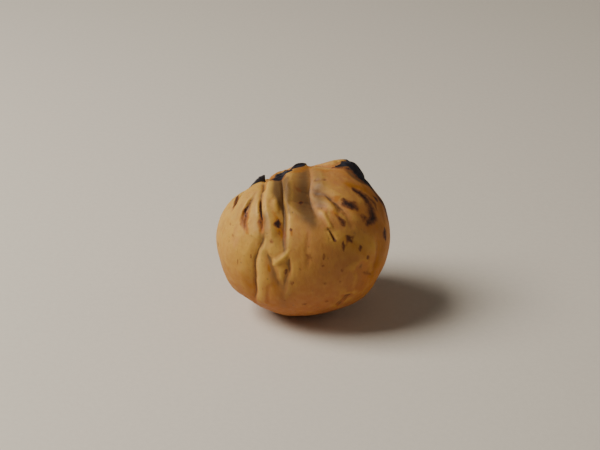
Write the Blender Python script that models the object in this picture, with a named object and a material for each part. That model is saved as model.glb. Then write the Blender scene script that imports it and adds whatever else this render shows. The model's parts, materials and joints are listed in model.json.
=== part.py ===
"""A peeled, roasted chestnut kernel, standing on the small flat of its base.

The kernel is one solid lump.  Its form is a plump oval body with a few broad
swellings, into which the folds of the nut are pressed: each fold is a furrow that
follows a short course over the surface, from the crown down a flank, with its own
depth and its own reach to the left and to the right.

Metres, +Z up.  The origin is the middle of the base.  +X is along the nut's width
and -Y is the side with the wide valley, taken as the front.
"""
import math

import bmesh
import bpy
import numpy as np

MM = 0.001

# ---- the body, in millimetres and degrees -------------------------------------------
HALF_WIDTH = 16.4
HALF_DEPTH = 14.3
HALF_HEIGHT = 14.8
# The middle of the body stands a little lower than the body is high: the foot is flat.
MIDDLE = (-0.1, 0.0, 14.6)

# Broad swellings and hollows: longitude, latitude, reach, height.  Longitude is
# measured from +X towards the back, latitude from the middle towards the crown.
SWELLINGS = {
    "crown hollow": (110, 62, 34, -0.7),
    "left slope": (150, 42, 22, -1.1),
    "top of the front": (-90, 60, 30, -1.1),
    "middle of the crown": (92, 72, 9, 0.75),
    "dip beside the main groove": (130, 69, 5, -0.45),
    "scorched crown": (122, 60, 12, -0.2),
    "dip beside the burnt skin": (163, 62, 6, -0.45),
    "left shoulder": (168, 43, 7, -0.35),
    "dip beside the cap": (60, 67, 7, -0.6),
    "lip of the cap": (42, 55, 6, -0.25),
    "right peak": (38, 50, 15, 2.3),
    "corner of the peak": (31, 53, 9, 0.7),
    "right shoulder": (10, 30, 28, 0.6),
    "slope of the peak": (17, 40, 6, 0.25),
    "side of the shoulder": (8, 24, 8, 0.25),
    "left side": (-172, -10, 9, -0.2),
    "lower left side": (-161, -29, 9, 0.25),
    "foot of the long groove": (-151, -41, 5, -0.25),
    "lower front": (-118, -61, 8, 0.2),
    "lower right side": (-45, -54, 18, -0.18),
    "right side": (-14, -20, 10, -0.15),
    "right flank": (-25, -38, 16, 0.4),
    "foot of the front": (-95, -60, 35, -0.35),
    "foot": (0, -90, 24, 0.3),
}

# ---- the folds ----------------------------------------------------------------------
# A place on the nut is given as on a tape laid over it from the middle of one face:
# so many millimetres across, then so many up.  Both faces lean back a little.
TAPE_RADIUS = 15.5
FACE_TILT = 27.0


# The surface is drawn together at the bottom of a fold by this share of its offset,
# which steepens the walls.
DRAW_IN = 0.35
FULL_DRAW_DEPTH = 0.8
# A fold is this much narrower at its ends, and its trough this much wider than it.
END_REACH = 0.45
TROUGH_REACH = 2.4
# The folds waver by waves of these lengths, each to its share of the height, all in
# millimetres.
FOLD_WAVER = 0.18
FOLD_WAVES = {9.0: 0.7, 4.3: 0.4}


class Furrow:
    """A fold pressed into the surface.

    course   places (across, up) that the bottom of the fold runs through
    depth    how deep it is, one value or several spread evenly along the course;
             a negative depth makes a raised fold
    left     how far its wall reaches on the left, where the course runs down
             the nut as seen from outside; right is the same for the other wall
    sharp    0 for a round bottom, 1 for a crease
    lip      1 for walls that end in an edge, 2 for walls that ease out, one value or
             one for the left and one for the right
    trough   share of the depth that lies in a soft trough around the fold
    fade     share of the course over which it dies away at the top and the foot
    """

    def __init__(self, face, course, depth, left, right, sharp=0.8, lip=1.6, trough=0.35, fade=(0.25, 0.3)):
        self.bottom = unit(np.array([place(face, *stop) for stop in smooth_course(course)]))
        share = np.linspace(0.0, 1.0, len(self.bottom))
        strength = ease(share / fade[0]) * ease((1.0 - share) / fade[1])
        narrowing = END_REACH + (1.0 - END_REACH) * strength
        self.left = spread(left, share) * narrowing
        self.right = spread(right, share) * narrowing
        self.depth = spread(depth, share) * strength
        self.sharp = sharp
        self.lip = np.broadcast_to(lip, 2)
        self.trough = trough
        down = np.gradient(self.bottom, axis=0)
        self.step = TAPE_RADIUS * np.linalg.norm(down, axis=1)
        self.down = unit(down - np.sum(down * self.bottom, axis=1, keepdims=True) * self.bottom)

    def along(self, values, position):
        """A value of the course, read between its points."""
        return np.interp(position, np.arange(len(values)), values)

    def locate(self, out):
        """Where each direction lies: its position along the course, its offset
        to the side in millimetres, minus on the left, and the way to the side."""
        last = len(self.bottom) - 1
        index = np.argmax(out @ self.bottom.T, axis=1)
        ahead = TAPE_RADIUS * np.sum(out * self.down[index], axis=1)
        position = index + ahead / self.step[index]
        beyond = np.where((position < 0.0) | (position > last), ahead, 0.0)
        position = np.clip(position, 0.0, last)
        near = np.column_stack([self.along(self.bottom[:, k], position) for k in range(3)])
        down = np.column_stack([self.along(self.down[:, k], position) for k in range(3)])
        aside = unit(np.cross(near, down))
        sideways = TAPE_RADIUS * np.sum(out * aside, axis=1)
        distance = np.hypot(sideways, beyond)
        distance[np.sum(out * near, axis=1) < 0.0] = np.inf
        return position, np.where(sideways < 0.0, -distance, distance), aside

    def press(self, out):
        """How far the fold sinks each direction, and how far it draws it aside."""
        position, offset, aside = self.locate(out)
        reach = np.where(offset < 0.0, self.along(self.left, position), self.along(self.right, position))
        share = np.clip(np.abs(offset) / reach, 0.0, 1.0)
        lip = np.where(offset < 0.0, *self.lip)
        wall = (1.0 - share) ** lip * (1.0 + lip * share * (1.0 - self.sharp))
        trough = 1.0 - ease(np.abs(offset) / (reach * TROUGH_REACH))
        depth = self.along(self.depth, position)
        pull = DRAW_IN * wall * np.clip(np.abs(depth) / FULL_DRAW_DEPTH, 0.0, 1.0)
        pull[share >= 1.0] = 0.0
        offset = np.where(share < 1.0, offset, 0.0)
        sunk = depth * ((1.0 - self.trough) * wall + self.trough * trough)
        return sunk, -(pull * offset)[:, None] * aside


def unit(vectors):
    """The vectors at length one."""
    return vectors / np.linalg.norm(vectors, axis=-1, keepdims=True)


def ease(share):
    """A smooth rise from 0 to 1."""
    share = np.clip(share, 0.0, 1.0)
    return share * share * (3.0 - 2.0 * share)


def spread(value, share):
    """One value, or several spread evenly, along a course."""
    values = np.atleast_1d(np.asarray(value, dtype=float))
    return np.interp(share, np.linspace(0.0, 1.0, len(values)), values)


def smooth_course(stops, steps=20):
    """A smooth curve through the stops."""
    stops = np.asarray(stops, dtype=float)
    stops = np.vstack([2 * stops[0] - stops[1], stops, 2 * stops[-1] - stops[-2]])
    curve = []
    for before, start, end, after in zip(stops, stops[1:], stops[2:], stops[3:]):
        for t in np.arange(steps) / steps:
            curve.append(0.5 * (2 * start + (end - before) * t
                                + (2 * before - 5 * start + 4 * end - after) * t ** 2
                                + (3 * start - before - 3 * end + after) * t ** 3))
    curve.append(stops[-2])
    return np.array(curve)


def place(face, across, up):
    """The direction from the middle of the nut to a place on the tape."""
    turn = 1.0 if face == "front" else -1.0
    tilt = np.radians(FACE_TILT)
    to_right = np.array([turn, 0.0, 0.0])
    to_top = np.array([0.0, turn * np.sin(tilt), np.cos(tilt)])
    outward = np.array([0.0, -turn * np.cos(tilt), np.sin(tilt)])
    length = np.hypot(across, up)
    if length < 1e-9:
        return outward
    angle = length / TAPE_RADIUS
    return np.cos(angle) * outward + np.sin(angle) * (across * to_right + up * to_top) / length


def wander(out, height, waves, seed):
    """The directions moved aside in uneven waves about this high, so that what is laid
    on them wavers."""
    ragged = np.random.default_rng(seed)
    moved = np.zeros_like(out)
    for length, share in waves.items():
        for _ in range(3):
            way, push = unit(ragged.normal(size=(2, 3)))
            wave = np.sin(out @ way * TAPE_RADIUS * math.tau / length + ragged.uniform(0.0, math.tau))
            moved += wave[:, None] * push * share
    return unit(out + moved * height / TAPE_RADIUS)


def make_furrows():
    """The folds of the nut, first the front from left to right, then the back."""
    return [
        # the left flank, under the burnt skin
        Furrow("front", [(-15.2, 15), (-16.2, 10.5), (-16.4, 5.5)], 0.6, 1.3, 0.9),
        # two slots that open downwards, each into a shallow hollow
        Furrow("front", [(-10.0, 13.5), (-11.3, 8), (-12.2, 4.8), (-11.9, 0)],
               depth=(0.4, 0.8, 1.0, 0.4), left=0.6, right=(1.0, 1.8), fade=(0.3, 0.4)),
        Furrow("front", [(-13.5, 25), (-10.8, 19.5), (-9.8, 14.5), (-9.1, 9), (-8.3, 4), (-8.6, 0)],
               depth=(0.9, 1.1, 0.7, 0.9, 0.8, 0.5), left=1.0, right=0.9, fade=(0.2, 0.2)),
        # the rim of burnt skin that stands up at the left of the crown
        Furrow("front", [(-15.6, 14.4), (-13.6, 16.0), (-11.4, 17.8)], -0.7, 0.8, 0.7, trough=0.0,
               fade=(0.5, 0.2)),
        # the long groove that goes on from the second slot to the foot
        Furrow("front", [(-7.8, 2.8), (-8.0, 0.1), (-9.3, -2.2), (-10.2, -5), (-10.8, -8.2), (-11.8, -12.4),
                         (-13.4, -19)],
               depth=(0.5, 0.8, 0.9, 0.9, 0.6), left=(1.4, 2.4, 2.6), right=(1.0, 1.3), sharp=0.15,
               lip=(1.8, 1.5), fade=(0.25, 0.25)),
        # the deep main groove beside the thin ridge, which comes over the crown
        Furrow("front", [(-7.5, 29), (-6, 20), (-4.9, 12), (-4.6, 7.5), (-4.0, 3), (-3.6, -3.4)],
               depth=(0.6, 0.3, 1.3, 1.6, 1.2, 0.8), left=(1.8, 2.4, 3.0, 2.4, 1.7), right=1.0,
               lip=(1.1, 1.8), sharp=0.3, trough=0.0, fade=(0.25, 0.25)),
        # the thick scorched edge of the crown, over the main groove
        Furrow("front", [(-10.0, 16.0), (-8.2, 17.6), (-6.4, 18.8), (-4.8, 19.4), (-3.6, 19.8)], -0.65,
               1.5, 1.6, sharp=0.2, lip=1.4, trough=0.0, fade=(0.3, 0.3)),
        # the cap at the right of the crown: the curl over its edge and its lip
        Furrow("front", [(3.2, 21.2), (4.8, 20.6), (5.9, 19.7), (7.0, 18.7), (8.4, 18.2)],
               depth=(0.3, 0.5, 0.4), left=0.5, right=1.0, trough=0.1, fade=(0.25, 0.25)),
        Furrow("front", [(3.4, 22.6), (5.6, 21.4), (7.4, 20.4), (9.2, 19.6)], -0.45, 1.2, 1.0,
               sharp=0.0, trough=0.1, fade=(0.25, 0.25)),
        # the wide valley, from over the crown
        Furrow("front", [(3.8, 30), (2.0, 22), (1.8, 15.5), (1.8, 12.5), (2.1, 9.5), (2.6, 6.6), (3.8, 3)],
               depth=(0.9, 0.5, 0.9, 1.9, 2.1, 1.5, 0.4), left=(2.2, 2.8, 3.8, 5.2, 5.4, 3.6, 1.6),
               right=(1.7, 1.7, 1.8, 2.3, 3.2, 3.0), lip=(1.1, 1.8), sharp=0.3, trough=0.0,
               fade=(0.25, 0.25)),
        # the right groove, the ridge on its left and the slit under it
        Furrow("front", [(2.2, 13.6), (4.4, 11.4), (6.6, 9.2), (8.6, 6.8), (10.5, 4)],
               depth=(0.4, 0.9, 1.1, 1.0, 0.6), left=(1.3, 1.8), right=(1.2, 1.6), sharp=0.4,
               trough=0.2, fade=(0.25, 0.3)),
        Furrow("front", [(4.4, 9.8), (5.6, 8.4), (6.6, 7.0), (7.5, 4.8)], -0.2, 1.1, 0.8, sharp=0.1,
               trough=0.0, fade=(0.4, 0.3)),
        Furrow("front", [(5.0, 3.2), (5.8, 1.1), (6.6, -1.2)], 0.6, 0.5, 0.8, sharp=1.0),
        # the lower front
        Furrow("front", [(-7.2, -1.4), (-7.0, -3.4), (-6.6, -5.4), (-6.0, -7.6), (-5.3, -10.2), (-5.0, -13)],
               0.55, 1.9, 1.1, sharp=0.15),
        Furrow("front", [(-3.0, -3), (-3.2, -6), (-3.9, -9), (-4.3, -14)], 0.35, 1.2, 1.1, sharp=0.1),
        Furrow("front", [(-6.6, -5.4), (-5.4, -4.5), (-4.6, -3.9), (-3.7, -3.1), (-2.8, -1.4)], -0.3, 0.9,
               1.0, sharp=0.0, trough=0.0),
        Furrow("front", [(12.0, -4), (13.8, -8), (14.6, -13)], 0.35, 2.2, 2.0, sharp=0.0),
        Furrow("front", [(11.8, -12), (10.6, -14.8), (9.0, -18)], 0.4, 1.3, 0.8),
        # the back, where some folds of the crown run on and others begin
        Furrow("back", [(0.4, 13), (2.5, 7), (3.0, 0), (1.5, -10)],
               depth=(1.0, 1.7, 1.4, 0.6), left=3.6, right=0.9, lip=1.4, trough=0.15),
        Furrow("back", [(-4.6, 8), (-5.2, 3), (-4.6, -2), (-5.2, -9)],
               depth=(1.0, 1.4, 0.7), left=0.9, right=2.2),
        Furrow("back", [(-7.0, 14), (-9.2, 7), (-9.8, 1), (-8.8, -8), (-7.6, -15)],
               depth=(0.9, 1.3, 1.0, 0.7), left=1.8, right=1.1),
        Furrow("back", [(6.6, 8), (8.2, 4), (8.8, -1), (10.4, -9)],
               depth=(0.9, 1.2, 0.9, 0.5), left=1.1, right=1.9),
        Furrow("back", [(11.0, 12), (13.2, 5), (13.8, -5)], 0.9, 1.6, 1.1),
        Furrow("back", [(-13.0, 11), (-15.0, 3), (-14.6, -6)], 0.9, 1.2, 1.6),
        Furrow("back", [(4.6, -3), (5.0, -8), (4.0, -15)], 0.6, 1.4, 0.9),
    ]


def body_radius(out):
    """The plump body without its folds: millimetres from the middle."""
    radius = 1.0 / np.linalg.norm(out / (HALF_WIDTH, HALF_DEPTH, HALF_HEIGHT), axis=1)
    for longitude, latitude, reach, height in SWELLINGS.values():
        turn, lift = np.radians(longitude), np.radians(latitude)
        centre = np.array([np.cos(turn) * np.cos(lift), np.sin(turn) * np.cos(lift), np.sin(lift)])
        angle = np.degrees(np.arccos(np.clip(out @ centre, -1.0, 1.0)))
        radius += height * np.exp(-(angle / reach) ** 2)
    return radius


def kernel_surface(out):
    """The points of the kernel's surface, in millimetres, in these directions."""
    radius = body_radius(out)
    shift = np.zeros_like(out)
    felt = wander(out, FOLD_WAVER, FOLD_WAVES, seed=2)
    for furrow in make_furrows():
        sunk, drawn = furrow.press(felt)
        radius -= sunk
        shift += drawn
    return out * radius[:, None] + shift + MIDDLE


# ---- the solid ----------------------------------------------------------------------
NODE = "chestnut_kernel"
FINE_SUBDIVISIONS = 7
KEPT_SHARE = 0.1
TABLE_SIZE = 60.0
TABLE_THICKNESS = 10.0


def clear_scene():
    """Remove what the scene holds already."""
    for item in list(bpy.data.objects):
        bpy.data.objects.remove(item, do_unlink=True)


def new_collection(name):
    """A collection linked to the scene."""
    collection = bpy.data.collections.new(name)
    bpy.context.scene.collection.children.link(collection)
    return collection


def kernel_material():
    """Pale roasted nut flesh, dry and slightly waxy."""
    material = bpy.data.materials.new("nut_flesh")
    material.use_nodes = True
    shader = material.node_tree.nodes["Principled BSDF"]
    shader.inputs["Base Color"].default_value = (0.52, 0.36, 0.18, 1.0)
    shader.inputs["Roughness"].default_value = 0.55
    shader.inputs["Metallic"].default_value = 0.0
    material.diffuse_color = (0.52, 0.36, 0.18, 1.0)
    return material


def make_kernel(collection):
    """The kernel: a fine ball given the nut's form, then thinned out by a modifier
    that keeps more faces where the folds bend."""
    mesh = bpy.data.meshes.new(NODE)
    ball = bmesh.new()
    bmesh.ops.create_icosphere(ball, subdivisions=FINE_SUBDIVISIONS, radius=1.0)
    out = unit(np.array([vertex.co[:] for vertex in ball.verts]))
    for vertex, point in zip(ball.verts, kernel_surface(out) * MM):
        vertex.co = point
    bmesh.ops.recalc_face_normals(ball, faces=ball.faces)
    ball.to_mesh(mesh)
    ball.free()
    mesh.materials.append(kernel_material())
    mesh.shade_smooth()
    kernel = bpy.data.objects.new(NODE, mesh)
    collection.objects.link(kernel)
    thin = kernel.modifiers.new("thin_out", "DECIMATE")
    thin.ratio = KEPT_SHARE
    return kernel


def make_table(collection):
    """A block whose top is the plane the nut stands on; it cuts the foot flat."""
    bpy.ops.mesh.primitive_cube_add(size=1.0, location=(0.0, 0.0, -0.5 * TABLE_THICKNESS * MM))
    table = bpy.context.active_object
    table.name = "table_cutter"
    table.scale = (TABLE_SIZE * MM, TABLE_SIZE * MM, TABLE_THICKNESS * MM)
    bpy.ops.object.transform_apply(location=True, rotation=False, scale=True)
    for holder in list(table.users_collection):
        holder.objects.unlink(table)
    collection.objects.link(table)
    table.hide_render = True
    table.display_type = "WIRE"
    return table


def main():
    clear_scene()
    kernel = make_kernel(new_collection("roasted_chestnut"))
    foot = kernel.modifiers.new("flat_foot", "BOOLEAN")
    foot.operation = "DIFFERENCE"
    foot.solver = "EXACT"
    foot.object = make_table(new_collection("cutters"))


if __name__ == "__main__":
    main()
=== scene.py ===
"""A peeled, roasted chestnut kernel: its folded flesh, its scorch and its burnt skin.

The frame gives the solid kernel.  The kernel made here stands for it: the same
folds at full fineness, with creases, pores and crust, and with the stains of the
roast, the painted shade of its folds and the painted light of its crests kept as
values on its surface for the material to read.  Thin rims of burnt skin stand on
its crown.
"""

import json
import math

import bmesh
import bpy
import numpy as np
from bpy.props import FloatProperty, FloatVectorProperty, IntProperty, PointerProperty
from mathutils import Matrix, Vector

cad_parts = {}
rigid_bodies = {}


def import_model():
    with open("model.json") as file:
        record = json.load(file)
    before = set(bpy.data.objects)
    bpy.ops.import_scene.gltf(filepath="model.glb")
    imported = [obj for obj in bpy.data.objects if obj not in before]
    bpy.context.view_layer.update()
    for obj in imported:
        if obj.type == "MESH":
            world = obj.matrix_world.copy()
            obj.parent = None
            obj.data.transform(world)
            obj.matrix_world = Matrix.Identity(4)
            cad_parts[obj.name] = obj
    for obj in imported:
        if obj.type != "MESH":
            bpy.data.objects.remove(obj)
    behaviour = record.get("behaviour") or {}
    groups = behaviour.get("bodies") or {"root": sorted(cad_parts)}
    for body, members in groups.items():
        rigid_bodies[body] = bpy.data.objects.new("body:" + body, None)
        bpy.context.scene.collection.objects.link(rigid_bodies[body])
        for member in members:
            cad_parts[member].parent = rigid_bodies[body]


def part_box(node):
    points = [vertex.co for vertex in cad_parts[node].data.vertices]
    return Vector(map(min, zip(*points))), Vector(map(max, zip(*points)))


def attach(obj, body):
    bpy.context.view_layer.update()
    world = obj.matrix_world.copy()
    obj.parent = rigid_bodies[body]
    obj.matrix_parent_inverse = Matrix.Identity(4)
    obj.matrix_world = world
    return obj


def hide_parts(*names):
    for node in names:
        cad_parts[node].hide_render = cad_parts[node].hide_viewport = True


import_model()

bl_info = {
    "name": "Roasted chestnut",
    "version": (1, 0, 0),
    "blender": (4, 5, 0),
    "location": "3D View > Sidebar > Chestnut",
    "description": "Builds a peeled, roasted chestnut kernel and its stage",
    "category": "Object",
}

NODE = "chestnut_kernel"
BODY = "root"
CAD_LOW, CAD_HIGH = (Vector(corner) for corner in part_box(NODE))

# The design is in millimetres of a nut this wide; the frame says how wide it is here.
DESIGN_WIDTH = 33.0
MM = (CAD_HIGH.x - CAD_LOW.x) / DESIGN_WIDTH

# ---- the body of the nut, in millimetres and degrees --------------------------------
HALF_WIDTH = 16.4
HALF_DEPTH = 14.3
HALF_HEIGHT = 14.8
MIDDLE = (-0.1, 0.0, 14.6)

# Broad swellings and hollows: longitude, latitude, reach, height.  Longitude is
# measured from +X towards the back, latitude from the middle towards the crown.
SWELLINGS = {
    "crown hollow": (110, 62, 34, -0.7),
    "left slope": (150, 42, 22, -1.1),
    "top of the front": (-90, 60, 30, -1.1),
    "middle of the crown": (92, 72, 9, 0.75),
    "dip beside the main groove": (130, 69, 5, -0.45),
    "scorched crown": (122, 60, 12, -0.2),
    "dip beside the burnt skin": (163, 62, 6, -0.45),
    "left shoulder": (168, 43, 7, -0.35),
    "dip beside the cap": (60, 67, 7, -0.6),
    "lip of the cap": (42, 55, 6, -0.25),
    "right peak": (38, 50, 15, 2.3),
    "corner of the peak": (31, 53, 9, 0.7),
    "right shoulder": (10, 30, 28, 0.6),
    "slope of the peak": (17, 40, 6, 0.25),
    "side of the shoulder": (8, 24, 8, 0.25),
    "left side": (-172, -10, 9, -0.2),
    "lower left side": (-161, -29, 9, 0.25),
    "foot of the long groove": (-151, -41, 5, -0.25),
    "lower front": (-118, -61, 8, 0.2),
    "lower right side": (-45, -54, 18, -0.18),
    "right side": (-14, -20, 10, -0.15),
    "right flank": (-25, -38, 16, 0.4),
    "foot of the front": (-95, -60, 35, -0.35),
    "foot": (0, -90, 24, 0.3),
}

# A place on the nut is given as on a tape laid over it from the middle of one face:
# so many millimetres across, then so many up.  Both faces lean back a little.
TAPE_RADIUS = 15.5
FACE_TILT = 27.0

# The surface is drawn together at the bottom of a fold by this share of its offset,
# which steepens the walls.
DRAW_IN = 0.35
FULL_DRAW_DEPTH = 0.8
# A fold, or a stain of one width, narrows to this share of it at its ends.  The trough
# of a fold is this much wider than the fold.
END_REACH = 0.45
TROUGH_REACH = 2.4

# Folds and the edges of stains waver about this high, in waves of these lengths, each
# to its share of the height, all in millimetres.  A few waves of each length cross.
FOLD_WAVER = {"height": 0.18, "waves": {9.0: 0.7, 4.3: 0.4}, "seed": 2}
STAIN_WAVER = {"height": 0.42, "waves": {7.0: 0.6, 3.1: 0.4, 1.5: 0.28, 0.8: 0.16}, "seed": 5}
CROSSING_WAVES = 3

# Steps of a smooth course from one stop to the next, and the distance from a course, in
# millimetres, that stands for the far side of the nut.
COURSE_STEPS = 50
FAR_SIDE = 99.0


def unit(vectors):
    """The vectors at length one."""
    return vectors / np.linalg.norm(vectors, axis=-1, keepdims=True)


def ease(share):
    """A smooth rise from 0 to 1."""
    share = np.clip(share, 0.0, 1.0)
    return share * share * (3.0 - 2.0 * share)


def spread(value, share):
    """One value, or several spread evenly, along a course."""
    values = np.atleast_1d(np.asarray(value, dtype=float))
    return np.interp(share, np.linspace(0.0, 1.0, len(values)), values)


def along(values, position):
    """What a course keeps for each of its points, numbers or directions, read between
    two of them."""
    steps = np.arange(len(values))
    if values.ndim == 1:
        return np.interp(position, steps, values)
    return np.column_stack([np.interp(position, steps, column) for column in values.T])


def smooth_course(stops):
    """A smooth curve through the stops."""
    stops = np.asarray(stops, dtype=float)
    stops = np.vstack([2 * stops[0] - stops[1], stops, 2 * stops[-1] - stops[-2]])
    curve = []
    for before, start, end, after in zip(stops, stops[1:], stops[2:], stops[3:]):
        for t in np.arange(COURSE_STEPS) / COURSE_STEPS:
            curve.append(0.5 * (2 * start + (end - before) * t
                                + (2 * before - 5 * start + 4 * end - after) * t ** 2
                                + (3 * start - before - 3 * end + after) * t ** 3))
    curve.append(stops[-2])
    return np.array(curve)


def place(face, across, up):
    """The direction from the middle of the nut to a place on the tape."""
    turn = 1.0 if face == "front" else -1.0
    tilt = np.radians(FACE_TILT)
    to_right = np.array([turn, 0.0, 0.0])
    to_top = np.array([0.0, turn * np.sin(tilt), np.cos(tilt)])
    outward = np.array([0.0, -turn * np.cos(tilt), np.sin(tilt)])
    length = np.hypot(across, up)
    if length == 0.0:
        return outward
    angle = length / TAPE_RADIUS
    return np.cos(angle) * outward + np.sin(angle) * (across * to_right + up * to_top) / length


def wander(out, height, waves, seed):
    """The directions moved aside in uneven waves about this high, so that what is laid
    on them gets an uneven edge."""
    ragged = np.random.default_rng(seed)
    moved = np.zeros_like(out)
    for length, share in waves.items():
        for _ in range(CROSSING_WAVES):
            way, push = unit(ragged.normal(size=(2, 3)))
            wave = np.sin(out @ way * TAPE_RADIUS * math.tau / length + ragged.uniform(0.0, math.tau))
            moved += wave[:, None] * push * share
    return unit(out + moved * height / TAPE_RADIUS)


class Course:
    """A short way over the surface, through places (across, up) of one face."""

    def __init__(self, face, stops):
        self.line = unit(np.array([place(face, *stop) for stop in smooth_course(stops)]))
        self.share = np.linspace(0.0, 1.0, len(self.line))
        down = np.gradient(self.line, axis=0)
        self.step = TAPE_RADIUS * np.linalg.norm(down, axis=1)
        self.down = unit(down - np.sum(down * self.line, axis=1, keepdims=True) * self.line)
        self.middle = unit(self.line.mean(axis=0))
        self.half_angle = np.arccos(np.clip(self.line @ self.middle, -1.0, 1.0)).max()

    def within(self, out, reach):
        """The directions that can lie within this reach of the course."""
        angle = min(self.half_angle + reach / TAPE_RADIUS, math.pi)
        return np.nonzero(out @ self.middle > math.cos(angle))[0]

    def locate(self, out):
        """Where each direction lies: its position along the course, its offset
        to the side in millimetres, minus on the left, and the way to the side."""
        last = len(self.line) - 1
        index = np.argmax(out @ self.line.T, axis=1)
        ahead = TAPE_RADIUS * np.sum(out * self.down[index], axis=1)
        position = index + ahead / self.step[index]
        beyond = np.where((position < 0.0) | (position > last), ahead, 0.0)
        position = np.clip(position, 0.0, last)
        near = along(self.line, position)
        down = along(self.down, position)
        aside = unit(np.cross(near, down))
        sideways = TAPE_RADIUS * np.sum(out * aside, axis=1)
        distance = np.hypot(sideways, beyond)
        distance[np.sum(out * near, axis=1) < 0.0] = FAR_SIDE
        return position, np.where(sideways < 0.0, -distance, distance), aside


class Furrow(Course):
    """A fold pressed into the surface.

    stops    places (across, up) that the bottom of the fold runs through
    depth    how deep it is, one value or several spread evenly along the course;
             a negative depth makes a raised fold
    left     how far its wall reaches on the left, where the course runs down
             the nut as seen from outside; right is the same for the other wall
    sharp    0 for a round bottom, 1 for a crease
    lip      1 for walls that end in an edge, 2 for walls that ease out, one value or
             one for the left and one for the right
    trough   share of the depth that lies in a soft trough around the fold
    fade     share of the course over which it dies away at the top and the foot
    rim      height of a thin raised edge along the left lip
    """

    # The raised edge is a bell of this width, gone within so many widths.
    RIM_WIDTH = 0.22
    RIM_SPAN = 4.0

    def __init__(self, face, stops, depth, left, right, sharp=0.8, lip=1.6, trough=0.35,
                 fade=(0.25, 0.3), rim=0.0):
        super().__init__(face, stops)
        strength = ease(self.share / fade[0]) * ease((1.0 - self.share) / fade[1])
        narrowing = END_REACH + (1.0 - END_REACH) * strength
        self.left = spread(left, self.share) * narrowing
        self.right = spread(right, self.share) * narrowing
        self.depth = spread(depth, self.share) * strength
        self.sharp = sharp
        self.lip = np.broadcast_to(lip, 2)
        self.trough = trough
        self.rim = rim * strength

    def press(self, out):
        """Which directions the fold moves, how far each sinks, and how far and which way
        it is drawn aside."""
        reach = max(self.left.max(), self.right.max()) * TROUGH_REACH + self.RIM_SPAN * self.RIM_WIDTH
        chosen = self.within(out, reach)
        position, offset, aside = self.locate(out[chosen])
        left = along(self.left, position)
        reach = np.where(offset < 0.0, left, along(self.right, position))
        share = np.clip(np.abs(offset) / reach, 0.0, 1.0)
        lip = np.where(offset < 0.0, *self.lip)
        wall = (1.0 - share) ** lip * (1.0 + lip * share * (1.0 - self.sharp))
        trough = 1.0 - ease(np.abs(offset) / (reach * TROUGH_REACH))
        depth = along(self.depth, position)
        pull = DRAW_IN * wall * np.clip(np.abs(depth) / FULL_DRAW_DEPTH, 0.0, 1.0)
        pull[share >= 1.0] = 0.0
        sunk = depth * ((1.0 - self.trough) * wall + self.trough * trough)
        edge = np.exp(-((offset + left + self.RIM_WIDTH) / self.RIM_WIDTH) ** 2)
        sunk -= along(self.rim, position) * edge
        return chosen, sunk, -(pull * offset)[:, None] * aside


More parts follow.
